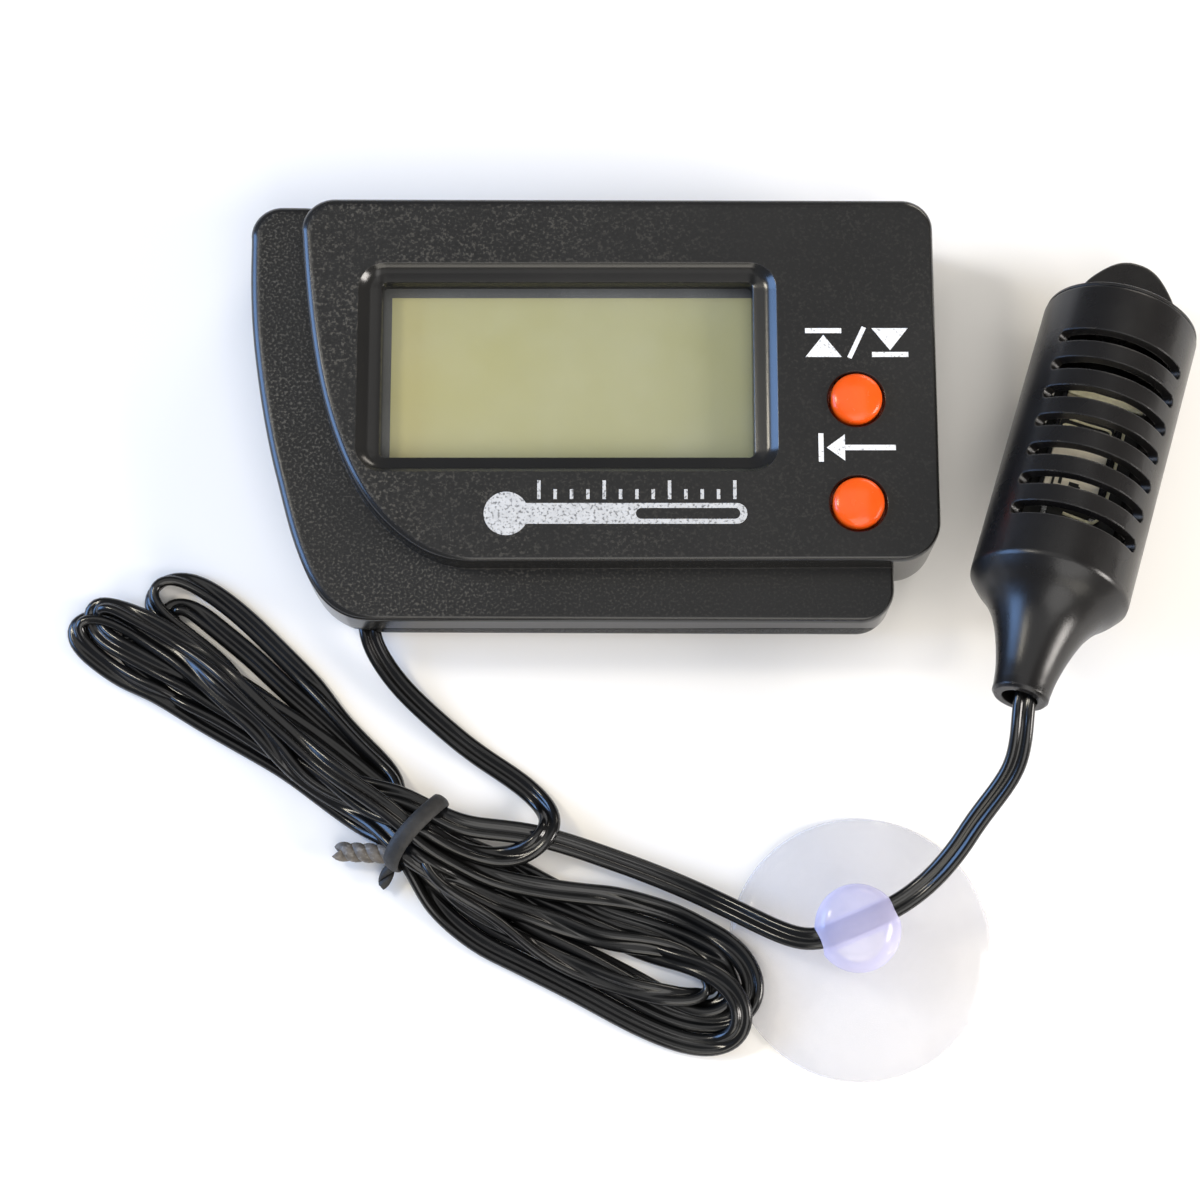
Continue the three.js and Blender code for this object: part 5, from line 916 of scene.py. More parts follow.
def clear_material(name, tint, face_alpha, edge_alpha, rough, rough_var, haze_scale, core=None):
    """Clear plastic as a thin film, more opaque edge-on; core is thicker stock higher up."""
    s = Surface(name)
    facing = s.node("LayerWeight", {"Blend": 0.35}).outputs["Facing"]
    haze = s.noise(haze_scale, detail=4.0, rough=0.6)
    base = s.mix(s.spread(haze), scaled(tint, 0.97), scaled(tint, 1.03))
    alpha = s.ramp(facing, at=(0.05, 0.85), to=(face_alpha, edge_alpha))
    alpha = s.add(alpha, s.spread(haze, -0.015, 0.02), clamp=True)
    if core is not None:
        thick = s.ramp(s.axes(s.coords)["Z"], at=core["heights"])
        alpha = s.add(alpha, s.times(thick, core["alpha"]), clamp=True)
        base = s.mix(thick, base, core["color"])
    s.shade({
        "Base Color": base,
        "Roughness": s.spread(haze, rough - rough_var, rough + rough_var),
        "Alpha": alpha,
        "IOR": 1.5,
        "Coat Weight": 0.3,
        "Coat Roughness": 0.08,
        "Normal": s.bump(haze, distance=3e-5, strength=0.25),
    })
    return s.material


# Arguments of plain_material for each look.
PLAIN_LOOKS = {
    "orange": dict(
        name="orange_cap", color=(0.90, 0.100, 0.006), rough=0.22, var=0.06, var_scale=500,
        grain=0.4, grain_scale=6000, edge=0.1, edge_tint_color=(0.95, 0.22, 0.05), sss=0.10, soft=0.02),
    "pcb": dict(
        name="green_mask", color=(0.02, 0.12, 0.05), rough=0.35, var=0.2, var_scale=900,
        grain=0.4, edge=0.5, edge_tint_color=(0.35, 0.33, 0.18)),
    "epoxy": dict(
        name="black_epoxy", color=(0.012, 0.012, 0.013), rough=0.24, var=0.3, var_scale=700,
        grain=0.25, grain_scale=2500, edge=0.3),
    "steel": dict(
        name="nickel_steel", color=(0.58, 0.575, 0.56), rough=0.27, var=0.08, var_scale=900,
        grain=0.35, grain_scale=7000, metallic=1.0, edge=0.5, edge_tint_color=(0.85, 0.85, 0.84),
        stretch=(1, 6, 1)),
    "ceramic": dict(
        name="ceramic_chip", color=(0.33, 0.21, 0.10), rough=0.5, var=0.2, var_scale=1800,
        grain=0.6, edge=0.4),
    "elastomer": dict(
        name="striped_elastomer", color=(0.45, 0.30, 0.34), rough=0.6, var=0.35, var_scale=6000,
        stretch=(8, 0.2, 0.2), grain=0.3),
    "reflector": dict(
        name="reflective_film", color=(0.45, 0.42, 0.27), rough=0.35, var=0.05, var_scale=400,
        grain=0.3, edge=0.2),
    "cable": dict(
        name="black_pvc_insulation", color=(0.0045, 0.0045, 0.0045), rough=0.20, var=0.35,
        var_scale=160, rough_var=0.05, grain=0.12, grain_scale=1100, grain_depth=1.6e-5,
        soft=0.2, bevel=False, spec=0.55),
    "grommet": dict(
        name="black_rubber", color=(0.012, 0.012, 0.012), rough=0.55, var=0.3, var_scale=800,
        grain=0.5, edge=0.3),
    "tie": dict(
        name="tie_coating", color=(0.018, 0.0175, 0.017), rough=0.62, var=0.3, var_scale=900,
        grain=0.9, grain_scale=2600, grain_depth=5e-5, edge=0.5, edge_tint_color=(0.075, 0.07, 0.065)),
    "tail": dict(
        name="tie_twist", color=(0.13, 0.112, 0.092), rough=0.55, var=0.4, var_scale=1400,
        grain=1.0, grain_scale=2600, grain_depth=6e-5, edge=0.6, edge_tint_color=(0.25, 0.23, 0.20),
        speck=dict(color=(0.24, 0.22, 0.19), scale=2600, at=(0.55, 0.7), share=0.8)),
    "probe": dict(
        name="satin_black_abs", color=(0.0075, 0.0068, 0.0066), rough=0.29, var=0.15,
        var_scale=90, rough_var=0.05, grain=0.55, grain_scale=5200, grain_depth=1.8e-5,
        edge=0.5, edge_tint_color=(0.06, 0.06, 0.062)),
    "sensor": dict(
        name="sensor_plate", color=(0.90, 0.83, 0.66), rough=0.4, var=0.10, var_scale=700,
        grain=0.5, edge=0.3, edge_tint_color=(0.75, 0.7, 0.55)),
    "trace": dict(
        name="pale_trace", color=(0.92, 0.83, 0.55), rough=0.35, var=0.15, var_scale=1500,
        grain=0.4),
    "board": dict(
        name="black_mask", color=(0.016, 0.016, 0.014), rough=0.4, var=0.3, var_scale=900,
        grain=0.4, edge=0.4),
    "bead": dict(
        name="dipped_bead", color=(0.03, 0.03, 0.09), rough=0.25, var=0.2, var_scale=1500,
        grain=0.3),
    "ink_grey": dict(
        name="worn_ink", color=(0.52, 0.52, 0.515), rough=0.55, var=0.10, var_scale=1200,
        grain=0.8, grain_depth=2e-5, bevel=False,
        speck=dict(color=(0.10, 0.10, 0.10), scale=3300, at=(0.52, 0.66), share=0.85)),
    "ink": dict(
        name="white_ink", color=(0.80, 0.80, 0.79), rough=0.55, var=0.06, var_scale=1200,
        grain=0.8, grain_depth=2e-5, bevel=False,
        speck=dict(color=(0.16, 0.16, 0.16), scale=4200, at=(0.60, 0.72), share=0.8)),
    "gasket": dict(
        name="black_gasket", color=(0.012, 0.012, 0.011), rough=0.7, var=0.2, var_scale=900,
        grain=0.7, bevel=False),
    "cell": dict(
        name="cell_steel", color=(0.60, 0.60, 0.59), rough=0.25, var=0.05, var_scale=500,
        grain=0.3, metallic=1.0, edge=0.4, edge_tint_color=(0.8, 0.8, 0.8), stretch=(1, 1, 8)),
}
LOOKS = {"shell": shell_material()}
for key, look in PLAIN_LOOKS.items():
    LOOKS[key] = plain_material(**look)
LOOKS["lcd"] = lcd_material()
LOOKS["window"] = clear_material(
    "acrylic_pane", tint=(0.85, 0.88, 0.87), face_alpha=0.05, edge_alpha=0.35, rough=0.06,
    rough_var=0.02, haze_scale=90.0)
LOOKS["pvc"] = clear_material(
    "clear_soft_pvc", tint=(0.78, 0.78, 0.83), face_alpha=0.22, edge_alpha=0.62, rough=0.16,
    rough_var=0.05, haze_scale=260.0,
    core=dict(heights=(0.0030, 0.0050), alpha=0.16, color=(0.62, 0.60, 0.86)))

# CAD pieces that keep their own shape, by look.
CARRIED = {
    "pcb": "circuit_board",
    "epoxy": "controller_blob max_min_switch clear_switch sensor_frame",
    "steel": "crystal_can board_screw_1 board_screw_2 max_min_switch_plunger "
             "clear_switch_plunger contact_positive contact_negative contact_bridge "
             "case_screw_1 case_screw_2 case_screw_3 case_screw_4 sensor_pin_1 sensor_pin_2",
    "ceramic": "board_capacitor probe_resistor",
    "cell": "battery_cell_1 battery_cell_2",
    "grommet": "cable_grommet",
    "lcd": "lcd_cell",
    "reflector": "lcd_reflector",
    "elastomer": "zebra_strip",
    "window": "display_window",
    "board": "probe_board",
    "bead": "thermistor",
    "sensor": "humidity_sensor",
}
for key, names in CARRIED.items():
    for name in names.split():
        materials = nodes[name].data.materials
        materials.clear()
        materials.append(LOOKS[key])


# ------------------------------------------------------------------ case
def lean(z):
    """How far the side wall leans in at a height."""
    return DRAFT * max(0.0, DRAFT_TOP - z) / DRAFT_TOP


def toe_cutter():
    """Wedge under the front edge, eased where it meets the upright wall."""
    slope = (TOE_BACK - TOE_Y) / TOE_Z
    bottom, top, front = -1.5, TOE_Z + 0.4, TOE_Y - 6
    side_view = [(TOE_Y + slope * (TOE_Z - bottom), bottom),
                 (TOE_Y + slope * 0.7 + 0.02, TOE_Z - 0.7),
                 (TOE_Y + slope * 0.32, TOE_Z - 0.3),
                 (TOE_Y + 0.012, TOE_Z),
                 (TOE_Y - 0.03, top),
                 (front, top),
                 (front, bottom)]
    cutter = prism(side_view[::-1], -60, 60)
    cutter.data.transform(Matrix(((0, 0, 1, 0), (1, 0, 0, 0), (0, 1, 0, 0), (0, 0, 0, 1))))
    return cutter


def skew(points, inset):
    """An outline moved inward, more at the left and back than at the right and front."""
    return offset(points, inset) + np.array([0.45 * inset, -0.42 * inset])


def cable_exit():
    """Bore through the front wall and its wider inner end."""
    return [rod_y(EXIT_X, EXIT_Z, 1.8, -23.6, -17.6), rod_y(EXIT_X, EXIT_Z, 2.4, -18.4, -16.0)]


def window_recess():
    """Rounded funnel of the window: soft outer lip, steep flank, tight inner outline."""
    flare_x, flare_y, depth, top = 2.35 + 0.05, 1.75 + 0.05, 2.4, CASE_TOP + 0.005
    inner_radius, outer_radius = 0.4, 2.7
    # Share of the way in, share of the depth.
    path = [(1.0, 1.0), (0.985, 0.50), (0.95, 0.44), (0.75, 0.375), (0.50, 0.315),
            (0.36, 0.27), (0.22, 0.185), (0.10, 0.088), (0.03, 0.026), (0.0, 0.0)]
    rings = []
    for inward, deep in path:
        flare = 1.0 - inward
        radius = inner_radius + (outer_radius - inner_radius) * flare ** 0.8
        rings.append((round_rect(WINDOW_X, WINDOW_Y, WINDOW_HALF_X + flare * flare_x,
                                 WINDOW_HALF_Y + flare * flare_y, radius), top - depth * deep))
    rings.append((round_rect(WINDOW_X, WINDOW_Y, WINDOW_HALF_X + flare_x + 0.02,
                             WINDOW_HALF_Y + flare_y + 0.02, outer_radius), top + 2.0))
    return stack("tool", rings)


def front_case():
    rim = 0.8
    rings = [(offset(OUTER, lean(PART_Z) + PART_GAP), PART_Z),
             (offset(OUTER, lean(PART_Z + PART_GAP)), PART_Z + PART_GAP),
             (offset(OUTER, lean(3.7) + 0.01), 3.7),
             (offset(OUTER, 0.02), 4.2),
             (OUTER, 4.8)]
    rings += [(skew(OUTER, inset), STEP_Z - drop) for inset, drop in quarter(rim, 7)]
    shell = stack("front_case", rings)
    cut(shell, toe_cutter())
    rings = [(PLATEAU, 7.2)]
    rings += [(skew(PLATEAU, inset), CASE_TOP - drop) for inset, drop in quarter(rim, 8)]
    join(shell, stack("tool", rings))
    cut(shell, prism(OUTER_IN, PART_Z - 1, STEP_Z - WALL),
        prism(PLATEAU_IN, STEP_Z - WALL - 0.5, CASE_TOP - WALL))

    # Frame round the window, screw posts, and a collar round each button.
    frame = prism(round_rect(WINDOW_X, WINDOW_Y, WINDOW_HALF_X + 2.9, WINDOW_HALF_Y + 2.5, 2.2),
                  10.2, CASE_TOP - 0.5)
    combine(frame, [prism(offset(PLATEAU, 0.1), 9, CASE_TOP)], "INTERSECT")
    additions = [frame]
    additions += [rod_z(x, y, 2.2, PART_Z, top + 0.4) for x, y, top in SCREWS]
    additions += [rod_z(x, y, 1.8, 6.42, CASE_TOP - WALL + 0.4) for x, y in BOARD_SCREWS]
    for y in BUTTON_YS:
        collar = rod_z(BUTTON_X, y, 4.7, 9.9, CASE_TOP - WALL + 0.2)
        additions.append(cut(collar, rod_z(BUTTON_X, y, 3.8, 9.0, CASE_TOP - WALL)))
    for addition in additions:
        join(shell, addition)

    holes = [window_recess(),
             prism(round_rect(WINDOW_X, WINDOW_Y, WINDOW_HALF_X, WINDOW_HALF_Y, 0.4), 9, 11)]
    for y in BUTTON_YS:
        bore, mouth = circle(BUTTON_X, y, 2.78, 64), circle(BUTTON_X, y, 2.93, 64)
        holes.append(stack("tool", [(bore, 10), (bore, CASE_TOP - 0.16),
                                    (mouth, CASE_TOP + 0.01), (mouth, 15)]))
    holes += [rod_z(x, y, 1.05, PART_Z - 1, top - 0.6, 20) for x, y, top in SCREWS]
    holes += [rod_z(x, y, 0.9, 5.4, 10.2, 20) for x, y in BOARD_SCREWS]
    for hole in holes + cable_exit():
        cut(shell, hole)
    finish(shell, "shell", "root", ["front_shell"])


DOOR_LOW, DOOR_HIGH = box_mm("battery_door")
DOOR_HALF = DOOR_HIGH[0] - 0.6      # half width without the side tongues
DOOR_FRONT, DOOR_BACK = DOOR_LOW[1], DOOR_HIGH[1]


def rear_case():
    rings = [(offset(OUTER, lean(z) + inset), z) for z, inset in quarter(0.55, 5)]
    rings.append((offset(OUTER, lean(PART_Z - PART_GAP)), PART_Z - PART_GAP))
    rings.append((offset(OUTER, lean(PART_Z) + PART_GAP), PART_Z))
    shell = stack("rear_case", rings)
    cut(shell, toe_cutter())
    cut(shell, prism(OUTER_IN, FLOOR, 5))
    lip = prism(LIP_OUT, FLOOR - 0.3, PART_Z + 1.2)
    join(shell, cut(lip, prism(LIP_IN, 0, 8)))
    join(shell, block(-14.0, 14.0, -18.98, -6.25, FLOOR - 0.3, 8.1))    # battery block
    for x, y, _ in SCREWS:
        cut(shell, rod_z(x, y, 2.95, PART_Z, 6))
    cut(shell, block(EXIT_X - 3, EXIT_X + 3, -24, -15.5, PART_Z, 6))
    for x, y, _ in SCREWS:
        join(shell, rod_z(x, y, 2.9, 0.5, PART_Z))

    cell_x, cell_y, _ = middle_mm("battery_cell_1")
    cuts = []
    for x in (cell_x, -cell_x):
        cuts.append(rod_z(x, cell_y, 5.95, -1, 7.25, 56))
        cuts.append(block(x - 1.7, x + 1.7, -9, -5, 6.75, 7.35))
    # Opening for the battery door and the grooves for its tongues.
    cuts.append(block(-DOOR_HALF - 0.15, DOOR_HALF + 0.15, -25, DOOR_BACK + 0.15, -1, 1.52))
    cuts.append(block(-DOOR_HALF - 0.75, DOOR_HALF + 0.75, -25, DOOR_BACK + 0.15, 0.4, 1.15))
    for x, y, _ in SCREWS:
        cuts.append(rod_z(x, y, 1.15, -1, 6, 20))
        cuts.append(rod_z(x, y, 2.0, -1, 1.4, 36))
    for cutter in cuts + cable_exit():
        cut(shell, cutter)
    finish(shell, "shell", "root", ["rear_shell"])


def battery_door():
    """Eased plate with side tongues, five grip grooves and an arrow on its underside."""
    outline = round_rect(0, (DOOR_FRONT + DOOR_BACK) / 2, DOOR_HALF,
                         (DOOR_BACK - DOOR_FRONT) / 2, 0.35, 4)
    door = eased(outline, 0.0, DOOR_HIGH[2], 0.2, 0.15, 3, "battery_lid")
    join(door, block(-DOOR_HALF - 0.6, DOOR_HALF + 0.6, DOOR_FRONT + 1.2, DOOR_BACK - 0.8,
                     0.52, 1.02))
    for k in range(5):
        groove = round_rect(0, -17.9 + k * 1.1, 5.2 - 0.35 * abs(k - 2), 0.27, 0.26, 5)
        cut(door, eased(groove, -0.5, 0.32, 0, 0.12, 3))
    cut(door, prism([(-1.7, -10.2), (0, -12.0), (1.7, -10.2)], -0.5, 0.22))
    finish(door, "shell", "battery_cover", ["battery_door"])


def display_shade_border():
    """Black sheet on the display's border, under the pane: painted shade where the window frame's
    shadow falls on the display.
    """
    low, high = box_mm("lcd_cell")
    mask = prism(rect(low[0], high[0], low[1], high[1]), high[2] + 0.005, high[2] + 0.07,
                 "display_shade_border")
    cut(mask, block(-20.0, 16.3, -4.2, 12.6, high[2] - 1, high[2] + 1))
    finish(mask, "gasket", "root")


def buttons():
    """Domed caps with a soft rim and a flange below."""
    radius, rim = 2.54, 0.62
    for name, y in zip(("max_min", "clear"), BUTTON_YS):
        top = box_mm(f"{name}_button")[1][2]
        profile = [(0, 10.2), (3.6, 10.2), (3.6, 11.0), (radius, 11.0), (radius, top - 0.95)]
        for k in range(1, 10):
            turn = math.pi / 2 * k / 9 * 0.80
            profile.append((radius - rim * (1 - math.cos(turn)),
                            top - 0.95 + rim * math.sin(turn)))
        dome_radius, dome_z = profile[-1]
        for k in range(1, 10):
            r = dome_radius * (1 - k / 10)
            profile.append((r, top - (top - dome_z) * (r / dome_radius) ** 2))
        profile.append((0, top))
        cap = lathe(profile, 72, f"{name}_cap")
        cap.data.transform(Matrix.Translation((BUTTON_X, y, 0)))
        finish(cap, "orange", f"{name}_key", [f"{name}_button"])


# ------------------------------------------------------------------ printed marks
INK_LOW = CASE_TOP - 0.012
INK_HIGH = INK_LOW + 0.035


def ink(name, outlines, x=0.0, y=0.0):
    """Thin raised print from outlines drawn about x, y."""
    mark = None
    for outline in outlines:
        part = prism(np.array(outline, float) + (x, y), INK_LOW, INK_HIGH,
                     "tool" if mark else name)
        mark = join(mark, part) if mark else part
    return mark


def bar(x0, y0, x1, y1, width):
    """Straight stroke between two points."""
    start, end = np.array([x0, y0]), np.array([x1, y1])
    along = (end - start) / np.linalg.norm(end - start)
    half = np.array([-along[1], along[0]]) * width / 2
    return np.array([start - half, end - half, end + half, start + half])


def printed_marks():
    # Behind the back key: triangles to a line above and below, with a stroke between.
    high_low = [
        [(-5.1, -1.5), (-1.5, -1.5), (-3.3, 0.8)],
        bar(-5.1, 1.24, -1.5, 1.24, 0.52),
        bar(-0.75, -1.6, 0.75, 1.6, 0.46),
        [(5.1, 1.5), (1.5, 1.5), (3.3, -0.8)],
        bar(1.5, -1.24, 5.1, -1.24, 0.52),
    ]
    mark = ink("mark_high_low", high_low, BUTTON_X + 0.15, BUTTON_YS[0] + 5.85)
    finish(mark, "ink", "root", weighted=False)
    # Behind the front key: an arrow pointing left to an upright line.
    reset = [
        bar(-3.55, -1.45, -3.55, 1.45, 0.5),
        [(-3.0, 0), (-1.2, -1.35), (-1.2, 1.35)],
        bar(-1.3, 0, 3.8, 0, 0.55),
    ]
    mark = ink("mark_reset", reset, BUTTON_X - 0.02, BUTTON_YS[1] + 5.67)
    finish(mark, "ink", "root", weighted=False)
    # In front of the display: a lying thermometer with its scale.
    left, right, y = -10.4, 15.4, -10.9
    mark = ink("mark_scale", [
        circle(left + 2.2, y, 2.2),
        round_rect((left + right) / 2 + 1.1, y, (right - left) / 2 - 1.1, 1.05, 1.04, 10)])
    cut(mark, prism(round_rect(9.6, y, 5.1, 0.55, 0.54), CASE_TOP - 1, CASE_TOP + 1))
    for k in range(13):
        x = left + 5.4 + k * 1.6
        height = 1.9 if k % 4 == 0 else 1.0
        join(mark, block(x - 0.17, x + 0.17, y + 1.45, y + 1.45 + height, INK_LOW, INK_HIGH))
    finish(mark, "ink_grey", "root", weighted=False)


# ------------------------------------------------------------------ twin lead
CORE_RADIUS, CORE_SPACING = 0.525, 0.57     # spacing is from the middle to each core


def relax(rows, sigma):
    """Gaussian smoothing along the lead, fading out over six rows so the ends stay put."""
    reach = int(3 * sigma)
    weights = np.exp(-0.5 * (np.arange(-reach, reach + 1) / sigma) ** 2)
    weights /= weights.sum()
    padded = np.vstack([2 * rows[0] - rows[reach:0:-1], rows,
                        2 * rows[-1] - rows[-2:-reach - 2:-1]])
    smooth = np.stack([np.convolve(column, weights, "valid") for column in padded.T], 1)
    index = np.arange(len(rows))
    share = np.clip(np.minimum(index, index[::-1]) / 6, 0, 1)[:, None]
    return rows * (1 - share) + smooth * share


def twin_section():
    """Two round cores meeting in a waist."""
    waist = math.acos((CORE_SPACING - 0.14) / CORE_RADIUS)
    points = []
    for side in (1, -1):
        for k in range(13):
            turn = -(math.pi - waist) + 2 * (math.pi - waist) * k / 12
            points.append((side * (CORE_SPACING + CORE_RADIUS * math.cos(turn)),
                           side * CORE_RADIUS * math.sin(turn)))
    return points


def twin_lead():
    """The coiled lead and its last stretch to the probe, as two pieces."""
    steps = 2
    # Lighter smoothing near the probe.
    share = np.clip((np.arange(len(LEAD_STATIONS)) - (FLEX_STATION - 30)) / 20.0, 0, 1)[:, None]
    rows = relax(LEAD_STATIONS, 1.7) * (1 - share) + relax(LEAD_STATIONS, 0.8) * share
    # Keep both cores off the floor.
    lowest = CORE_RADIUS + 0.04 + CORE_SPACING * np.abs(rows[:, 5])
    rows[:, 2] = np.maximum(rows[:, 2], lowest)
    rows = spline(rows, steps)
    centres, sides = rows[:, :3], rows[:, 3:]
    flex = FLEX_STATION * steps
    split = flex - 26
    coiled = sweep("lead_coiled", centres[:split + 1], sides[:split + 1], twin_section())
    finish(coiled, "cable", "root", ["cable"], angle=50, weighted=False)
    loose = sweep("lead_to_probe", centres[split:], sides[split:], twin_section())
    finish(loose, "cable", None, ["probe_lead"], angle=50, weighted=False)
    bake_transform(loose)


# ------------------------------------------------------------------ twist tie
def tie_strap():
    """Flat strap in a slightly wavy oval round the bundle."""
    centre = np.array([-17.214, -40.9275, 3.6])
    heading = math.atan2(-0.598, 0.8015)
    across = np.array([-math.sin(heading), math.cos(heading), 0.0])
    axis = np.array([math.cos(heading), math.sin(heading), 0.0])
    up = np.array([0.0, 0.0, 1.0])
    half_across, half_up = 3.75 + 0.26, 3.05 + 0.26
    centres = []
    for k in range(150):
        turn = 2 * math.pi * k / 150
        centres.append(centre + across * half_across * math.cos(turn)
                       + up * half_up * math.sin(turn) + axis * 0.22 * math.sin(2 * turn + 0.6))

    def squared(value):
        return math.copysign(abs(value) ** 0.8, value)

    section = []
    for k in range(28):
        turn = 2 * math.pi * k / 28
        lobe = 1.0 + 0.10 * math.cos(4 * turn)
        section.append((0.80 * lobe * squared(math.cos(turn)),
                        0.36 * squared(math.sin(turn)) + 0.07))
    strap = sweep("tie_strap", centres, axis, section, closed=True)
    finish(strap, "tie", "root", ["twist_tie"], angle=60, weighted=False)


def twisted(name, start, end, helix_radius, core_radius, turns, look, phase=0.0):
    """Two strands twisted about a straight line."""
    start = np.array(start, float)
    line = np.array(end, float) - start
    along = line / np.linalg.norm(line)
    side = np.cross(along, [0, 0, 1.0])
    side /= np.linalg.norm(side)
    third = np.cross(along, side)
    section = circle(0, 0, core_radius, 14) * (0.92, 1.25)
    for strand in (0, 1):
        centres, outward = [], []
        for k in range(81):
            turn = phase + strand * math.pi + turns * 2 * math.pi * k / 80
            spoke = side * math.cos(turn) + third * math.sin(turn)
            centres.append(start + line * (k / 80) + spoke * helix_radius)
            outward.append(spoke)
        piece = sweep(f"{name}_{strand + 1}", centres, outward, section)
        finish(piece, look, "root", angle=60, weighted=False)


def twist_tie():
    tie_strap()
    twisted("tie_tail", (-19.4, -42.95, 2.4), (-25.0, -42.55, 1.45), helix_radius=0.50,
            core_radius=0.54, turns=2.2, look="tail")
    twisted("tie_stub", (-19.6, -43.7, 1.9), (-20.6, -45.9, 1.05), helix_radius=0.34,
            core_radius=0.36, turns=0.7, look="tie", phase=0.4)


# ------------------------------------------------------------------ suction cup
def suction_cup():
    """Leaning clear cup with a knob, bored through for the lead."""
    # Profiles: radius, z.
    under = spline([(0.0, 1.9), (3.0, 1.78), (6.0, 1.45), (9.6, 0.62), (11.6, 0.06)], 5)
    rim = [(12.0, 0.0), (12.7, 0.0), (12.94, 0.07), (13.0, 0.22), (12.93, 0.38), (12.7, 0.52)]
    upper = spline([(12.3, 0.72), (11.2, 1.18), (9.0, 1.72), (6.5, 2.3), (4.6, 2.78),
                    (3.35, 3.2), (2.7, 3.75), (2.5, 4.25), (2.75, 4.8), (3.45, 5.25),
                    (4.0, 5.9), (4.2, 6.7), (4.15, 7.5), (3.8, 8.25), (3.1, 8.85),
                    (2.0, 9.22), (0.9, 9.37), (0.0, 9.4)], 4)
    cup = lathe([*under, *rim, *upper], 120, "sucker")
    x, y, lean_x, lean_y = 26.75, -52.15, -0.12, 0.203
    cup.data.transform(Matrix(((1, 0, lean_x, x), (0, 1, lean_y, y), (0, 0, 1, 0), (0, 0, 0, 1))))
    bore = prism(circle(0, 0, 1.45, 40), -8, 8)
    turn = Vector((0, 0, 1)).rotation_difference(Vector((0.922, 0.387, 0)).normalized())
    bore.data.transform(Matrix.Translation((25.95, -50.4, 6.7)) @ turn.to_matrix().to_4x4())
    cut(cup, bore)
    finish(cup, "pvc", "cup", ["suction_cup"], angle=50)


# ------------------------------------------------------------------ probe
# Built about z: z = 0 at the cap end, the neck at the top.
PROBE_RADIUS, BARREL_LENGTH, PROBE_LENGTH, NECK_RADIUS = 7.8, 30.8, 42.5, 2.75
SLOT_COUNT, FIRST_SLOT, SLOT_PITCH, SLOT_HEIGHT = 7, 5.98, 3.3, 1.4
SLOT_HALF_ANGLE, SLOT_CENTRE = math.radians(53.7), math.radians(-2.5)


def probe_placing():
    """Matrix from the probe's own axes to its place beside the case."""
    heading, pitch = math.radians(72.1), math.radians(11.0)
    along = Vector((-math.cos(pitch) * math.cos(heading), -math.cos(pitch) * math.sin(heading),
                    math.sin(pitch)))
    up = (Vector((0, 0, 1)) - along * along.z).normalized()
    across = up.cross(along)
    place = Vector((53.69, 9.78, 7.9))
    rows = [(across[i], up[i], along[i], place[i]) for i in range(3)]
    return Matrix((*rows, (0, 0, 0, 1)))


PROBE_PLACING = probe_placing()


def slot_cutter(middle, z, inner, outer):
    """Curved bar with rounded ends, about a middle angle."""
    half_height = SLOT_HEIGHT / 2
    end = half_height / PROBE_RADIUS
    half = SLOT_HALF_ANGLE
    turns = [*np.linspace(-half, -half + end, 8), *np.linspace(-half + end, half - end, 26)[1:-1],
             *np.linspace(half - end, half, 8)]
    verts, faces = [], []
    for t in turns:
        into_end = max(0.0, abs(t) - (half - end)) / end
        h = half_height * math.sqrt(max(1 - into_end * into_end, 0.0025))
        c, s = math.cos(middle + t), math.sin(middle + t)
        verts += [(inner * c, inner * s, z - h), (outer * c, outer * s, z - h),
                  (outer * c, outer * s, z + h), (inner * c, inner * s, z + h)]
    last = len(turns) - 1
    for i in range(last):
        for k in range(4):
            k2 = (k + 1) % 4
            faces.append((i * 4 + k, (i + 1) * 4 + k, (i + 1) * 4 + k2, i * 4 + k2))
    faces.append((0, 1, 2, 3))
    faces.append((last * 4 + 3, last * 4 + 2, last * 4 + 1, last * 4))
    return make_object("tool", verts, faces)


def probe_sleeve():
    """Hollow barrel with a tapering neck and a row of slots on two sides."""
    radius, shoulder = PROBE_RADIUS, BARREL_LENGTH
    taper = spline([(radius - 0.06, shoulder), (radius - 0.9, shoulder + 1.05),
                    (radius - 2.1, shoulder + 2.25), (radius - 3.2, shoulder + 3.9),
                    (radius - 4.1, shoulder + 6.2), (NECK_RADIUS + 0.28, shoulder + 8.8),
                    (NECK_RADIUS + 0.02, PROBE_LENGTH - 1.0)], 6)
    profile = [(6.7, 0.0), (radius - 0.32, 0.0), (radius - 0.1, 0.08), (radius, 0.32),
               (radius, shoulder - 0.4), *taper,
               (NECK_RADIUS, PROBE_LENGTH - 0.3), (NECK_RADIUS - 0.25, PROBE_LENGTH),
               (1.75, PROBE_LENGTH), (1.75, shoulder + 9.5), (2.6, shoulder + 6.2),
               (4.3, shoulder + 2.9), (6.7, shoulder - 0.2)]
    sleeve = lathe(profile, 128, "probe_sleeve")
    for side in (0, 1):
        middle = math.pi / 2 + SLOT_CENTRE + side * math.pi
        for i in range(SLOT_COUNT):
            cut(sleeve, slot_cutter(middle, FIRST_SLOT + i * SLOT_PITCH, 5.2, radius + 1))
    finish(sleeve, "probe", "probe", ["probe_barrel"], placing=PROBE_PLACING)


